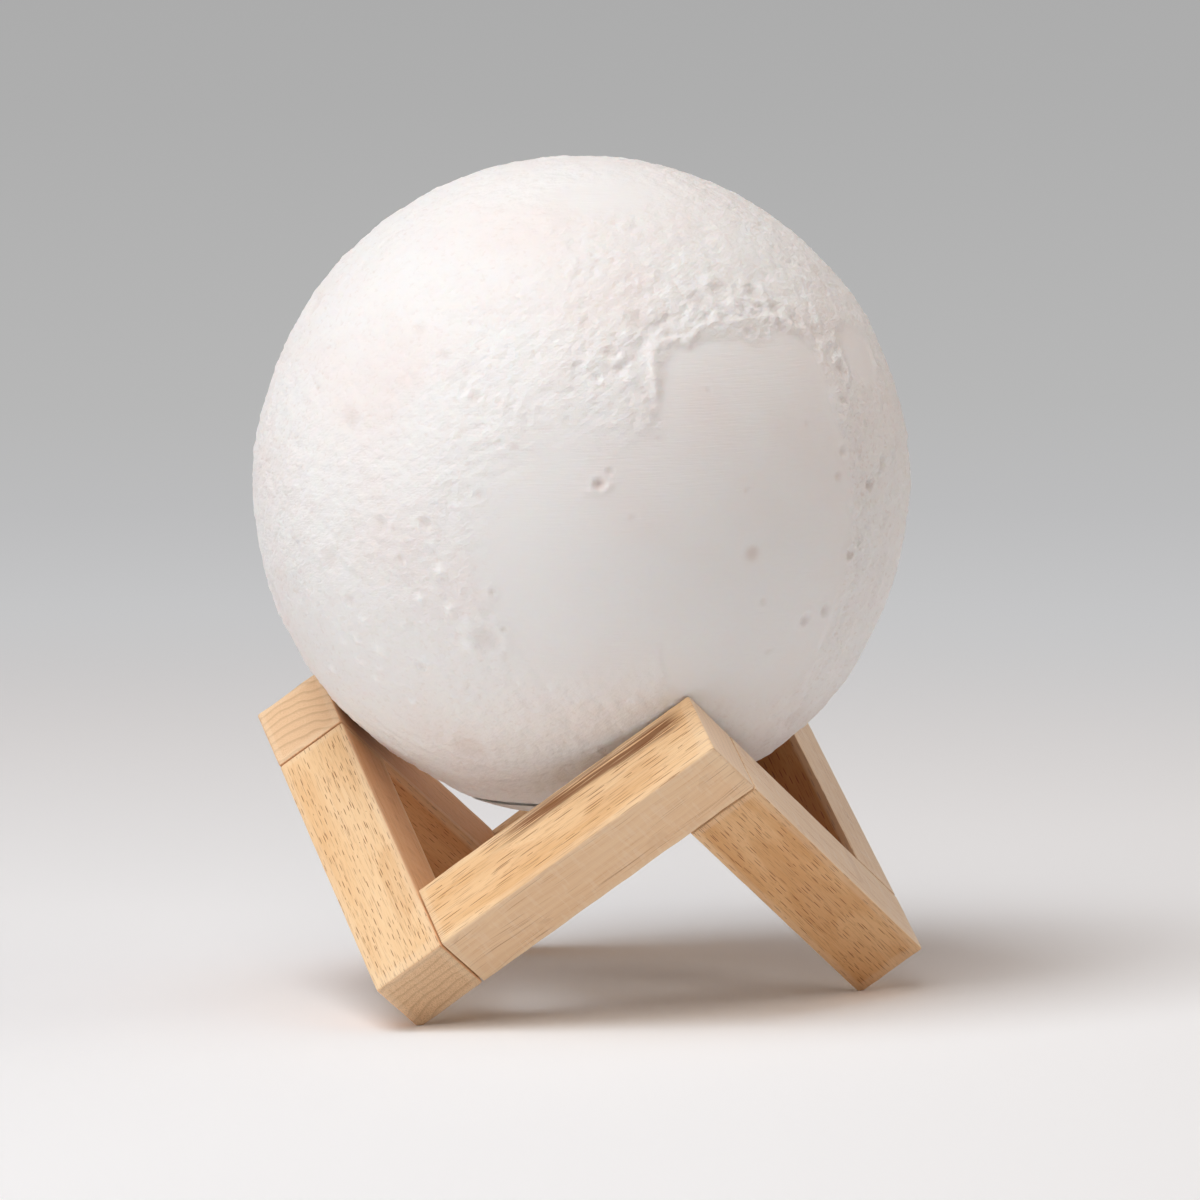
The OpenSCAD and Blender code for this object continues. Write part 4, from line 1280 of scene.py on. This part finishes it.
    def hollow_out(self, piece: bpy.types.Object) -> None:
        """Cuts the opening and adds the inner wall, still round the origin.

        Args:
            piece: The ball with its relief.
        """
        inner_r = self.radius - self.wall
        points, faces = self.ball(self.inner_grid, 1.0)
        inner = mesh_piece("inner_wall", points * inner_r, [list(reversed(f)) for f in faces])
        shell = bmesh.new()
        rims = []
        for part, radius in ((piece.data, self.radius), (inner.data, inner_r)):
            skin = bmesh.new()
            skin.from_mesh(part)
            plane_z = -math.sqrt(radius**2 - self.opening**2)
            everything = skin.verts[:] + skin.edges[:] + skin.faces[:]
            bmesh.ops.bisect_plane(skin, geom=everything, plane_co=(0, 0, plane_z), plane_no=(0, 0, -1),
                                   clear_outer=True)
            for vertex in (v for e in skin.edges if e.is_boundary for v in e.verts):
                scale = self.opening / math.hypot(vertex.co.x, vertex.co.y)
                vertex.co.x *= scale
                vertex.co.y *= scale
            cut = bpy.data.meshes.new("cut")
            skin.to_mesh(cut)
            skin.free()
            shell.from_mesh(cut)
            rims.append(cut)
        edges = [e for e in shell.edges if e.is_boundary]
        bmesh.ops.bridge_loops(shell, edges=edges)
        bmesh.ops.recalc_face_normals(shell, faces=shell.faces)
        shell.to_mesh(piece.data)
        shell.free()
        for cut in rims:
            bpy.data.meshes.remove(cut)
        bpy.data.objects.remove(inner)


# ---------------------------------------------------------------- what the globe holds


@dataclass
class LampInside:
    """The cap, its controls, the electronics and the light: shapes of the frame with their own finishes."""

    finishes: dict[str, Any] = field(default_factory=lambda: {
        "base_cap": MouldedPlastic("ABS_moulded_white", "#f4f2ee", "#ece9e3", 0.38),
        "touch_ring": WorkedMetal("stainless_steel_turned", "#c9c8c4", "#a9a8a4", 0.28, Lay.ROUND),
        "charge_port": WorkedMetal("steel_sheet_nickel_plated", "#c3c2bf", "#9e9d9a", 0.25, Lay.ALONG_Z),
        "port_tongue": MouldedPlastic("nylon_moulded_black", "#1c1c1d", "#28282a", 0.5, 0.25),
        "charge_light": ClearPlastic("acrylic_light_pipe", "#f2f7fa", 0.05, 0.9),
        "power_button": MouldedPlastic("ABS_moulded_grey", "#d2d0cc", "#c5c3bf", 0.4, 0.3),
        "switch_plunger": MouldedPlastic("nylon_plunger_grey", "#4a4a4c", "#58585a", 0.45, 0.25),
        "switch_body": MouldedPlastic("nylon_switch_black", "#19191a", "#242426", 0.5, 0.25),
        "touch_contact": WorkedMetal("brass_pin_gilt", "#d9b45f", "#b48d3f", 0.25, Lay.ALONG_Z),
        "control_board": CircuitBoard("glass_epoxy_green_mask", "#1d5c3c", "#2f7d55"),
        "board_parts": SoftStuff("epoxy_chips_moulded", "#1e1e20", "#2e2e31", 0.3, 0.01, 0.5),
        "battery_tray": MouldedPlastic("ABS_tray_white", "#e9e7e2", "#dfdcd6", 0.5),
        "battery_pad": SoftStuff("foam_pad_grey", "#8f8f92", "#6f6f73", 0.7, 0.25, 0.85),
        "battery_cell": SoftStuff("aluminium_pouch_foil", "#c4c6c8", "#a4a7aa", 5.0, 0.2, 0.32, 0.85),
        "battery_leads": SoftStuff("PVC_wire_pair", "#1b1b1c", "#3a2323", 1.5, 0.01, 0.42, 0.0, "#a3201c"),
        "tray_screws": WorkedMetal("steel_screw_zinc", "#b9babb", "#8d8e90", 0.33, Lay.EVEN),
        "light_pillar": MouldedPlastic("ABS_pillar_white", "#f0eee9", "#e4e1db", 0.45),
        "pillar_screws": WorkedMetal("steel_screw_zinc_small", "#b9babb", "#8d8e90", 0.33, Lay.EVEN),
        "led_board": CircuitBoard("aluminium_board_white_mask", "#eceae4", "#cfcdc6"),
        "led_chips": SoftStuff("phosphor_silicone_yellow", "#e6c64a", "#d7b136", 0.5, 0.02, 0.35),
        "led_screws": WorkedMetal("steel_screw_zinc_fine", "#b9babb", "#8d8e90", 0.33, Lay.EVEN),
        "led_leads": SoftStuff("PVC_wire_pair_light", "#1b1b1c", "#3a2323", 1.5, 0.01, 0.42, 0.0, "#a3201c"),
        "diffuser_dome": ClearPlastic("polycarbonate_frosted", "#f3f2ee", 0.45, 0.7),
    })

    def build(self) -> None:
        """Dresses each node of the frame that stays."""
        for node, finish in self.finishes.items():
            dress(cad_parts[node], finish.material())


# ---------------------------------------------------------------- studio


@dataclass(frozen=True)
class SoftPanel:
    """A soft lamp: the way to it from the globe, its brightness on a white face, and its colour."""

    name: str
    toward: Point
    share: float
    colour: str
    size: float = 1.0
    distance: float = 1.8


@dataclass
class Studio:
    """A pale floor that greys with distance, a bank of soft lamps at the upper left and weak fill."""

    floor_radius: float = 15.0
    floor_corners: int = 96
    floor_fade: Pair = (0.45, 0.95)
    floor_centre: Pair = (-0.25, 0.0)
    floor_white: str = "#f6f8fa"
    horizon_grey: str = "#acacac"
    warm: str = "#ffc9a8"
    ambient: float = 0.108
    aim_z: float = 0.1
    panels: tuple[SoftPanel, ...] = (
        SoftPanel("left_low", (-0.79, -0.45, 0.3), 0.215, "#fffdfb"),
        SoftPanel("left_high", (-0.37, -0.21, 0.9), 0.55, "#f4faff"),
        SoftPanel("front_high", (-0.15, -0.6, 0.8), 0.24, "#fff9f4"),
        SoftPanel("overhead", (0.0, 0.0, 1.0), 0.07, "#ffffff"),
        SoftPanel("right_high", (0.75, -0.1, 0.65), 0.13, "#fff7ec"),
        SoftPanel("right_back", (0.62, 0.4, 0.68), 0.045, "#fffaf4"),
        SoftPanel("right_rim", (0.85, 0.5, 0.1), 0.11, "#fffaf6"))
    # Shade of the floor by distance in metres, as the lamp's light falls off
    shades: tuple[tuple[float, str], ...] = (
        (0.1, "#f3f3f3"), (0.25, "#eaeaea"), (0.35, "#e0e0e0"), (0.6, "#d0d0d1"), (0.9, "#c6c6c7"),
        (1.3, "#bcbcbd"), (1.83, "#b7b7b7"), (2.57, "#b4b4b4"), (3.69, "#b1b1b1"), (5.56, "#aeaeae"),
        (10.0, "#acacac"))
    decades: float = 2.0

    def shade_at(self, distance: Field) -> Field:
        """Reads the floor's shade at a distance in metres."""
        first = self.shades[0][0]
        share = calc("LOGARITHM", distance / first, 10.0) / self.decades
        node = add(distance.tree, "ShaderNodeValToRGB", {0: share})
        while len(node.color_ramp.elements) < len(self.shades):
            node.color_ramp.elements.new(0.5)
        for element, (metres, shade) in zip(node.color_ramp.elements, self.shades):
            element.position = math.log10(metres / first) / self.decades
            element.color = linear(shade)
        return Field(node.outputs[0])

    def seen(self, tree: bpy.types.NodeTree) -> Field:
        """Tells rays that come from the camera or off something glossy or clear from the rest."""
        path = add(tree, "ShaderNodeLightPath").outputs
        camera, glossy, clear = (Field(path[f"Is {ray} Ray"]) for ray in ("Camera", "Glossy", "Transmission"))
        return calc("MAXIMUM", calc("MAXIMUM", camera, glossy), clear)

    def floor(self) -> None:
        """Makes the floor."""
        turns = np.linspace(0, 2 * math.pi, self.floor_corners, endpoint=False)
        ring = np.stack([np.cos(turns), np.sin(turns), 0 * turns], -1) * self.floor_radius
        piece = mesh_piece("studio_floor", ring, [list(range(len(turns)))])
        material, tree = new_material("paper_white")
        paper = read(tree, "ShaderNodeBsdfPrincipled", {
            "Base Color": linear(self.floor_white), "Roughness": 0.9, "Specular IOR Level": 0.1})
        place = read(tree, "ShaderNodeTexCoord", key="Object")
        distance = vector("LENGTH", vector("SUBTRACT", place, (*self.floor_centre, 0.0)), key=1)
        glow = read(tree, "ShaderNodeEmission", {"Color": self.shade_at(distance), "Strength": 1.0})
        share = ramp(distance, *self.floor_fade) * self.seen(tree)
        both = read(tree, "ShaderNodeMixShader", {0: share, 1: paper, 2: glow})
        add(tree, "ShaderNodeOutputMaterial", {"Surface": both})
        dress(piece, material)

    def lamp(self, panel: SoftPanel) -> None:
        """Hangs a square soft lamp that points at the globe.

        Args:
            panel: Where it hangs and how bright it is.
        """
        light = bpy.data.lights.new(panel.name, "AREA")
        light.shape = "SQUARE"
        light.size = panel.size
        # A matt white face turned to the lamp gives back this share of white
        light.energy = panel.share * (math.pi * panel.distance) ** 2
        light.color = linear(panel.colour)[:3]
        lamp = bpy.data.objects.new(panel.name, light)
        toward = Vector(panel.toward).normalized()
        lamp.location = Vector((0, 0, self.aim_z)) + toward * panel.distance
        lamp.rotation_euler = toward.to_track_quat("Z", "Y").to_euler()
        bpy.context.scene.collection.objects.link(lamp)

    def sky(self) -> None:
        """Lights the room warmly and weakly, and shows as the grey of the far floor."""
        world = bpy.data.worlds.new("studio")
        world.use_nodes = True
        tree = world.node_tree
        tree.nodes.clear()
        fill = read(tree, "ShaderNodeBackground", {"Color": linear(self.warm), "Strength": self.ambient})
        back = read(tree, "ShaderNodeBackground", {"Color": linear(self.horizon_grey), "Strength": 1.0})
        both = read(tree, "ShaderNodeMixShader", {0: self.seen(tree), 1: fill, 2: back})
        add(tree, "ShaderNodeOutputWorld", {"Surface": both})
        bpy.context.scene.world = world

    def build(self) -> None:
        """Sets up the floor, the lamps and the room."""
        self.floor()
        for panel in self.panels:
            self.lamp(panel)
        self.sky()
        bpy.context.scene.view_settings.view_transform = "Standard"


@dataclass
class PhotoCamera:
    """A long lens a little above the lamp, turned and rolled by small angles."""

    place: Point = (0.0169, -1.8208, 0.2710)
    azimuth: float = -0.415
    down: float = 5.679
    roll: float = 1.117
    lens_mm: float = 240.0
    sensor_mm: float = 36.0

    def build(self) -> bpy.types.Object:
        """Makes the camera and gives it to the scene.

        Returns:
            The camera.
        """
        azimuth, down, roll = (math.radians(a) for a in (self.azimuth, self.down, self.roll))
        level = Vector((math.sin(azimuth), math.cos(azimuth), 0)) * math.cos(down)
        forward = level - Vector((0, 0, math.sin(down)))
        level_right = Vector((math.cos(azimuth), -math.sin(azimuth), 0))
        level_down = forward.cross(level_right)
        right = level_right * math.cos(roll) + level_down * math.sin(roll)
        up = -forward.cross(right)
        data = bpy.data.cameras.new("photo_camera")
        data.lens = self.lens_mm
        data.sensor_width = self.sensor_mm
        data.clip_end = 60.0
        camera = bpy.data.objects.new("photo_camera", data)
        axes = Matrix((right, up, -forward)).transposed().to_4x4()
        camera.matrix_world = Matrix.Translation(self.place) @ axes
        bpy.context.scene.collection.objects.link(camera)
        bpy.context.scene.camera = camera
        return camera


def main() -> None:
    """Builds the scene piece by piece."""
    logging.basicConfig(level=logging.INFO, format="%(name)s: %(message)s")
    PhotoCamera().build()
    Studio().build()
    for bar in WoodenStand().build():
        LOG.info("%s: %d faces", bar.name, len(bar.data.polygons))
    globe = MoonGlobe().build()
    LOG.info("%s: %d faces", globe.name, len(globe.data.polygons))
    inside = LampInside()
    inside.build()
    LOG.info("dressed %d nodes inside the globe", len(inside.finishes))


if __name__ == "__main__":
    main()
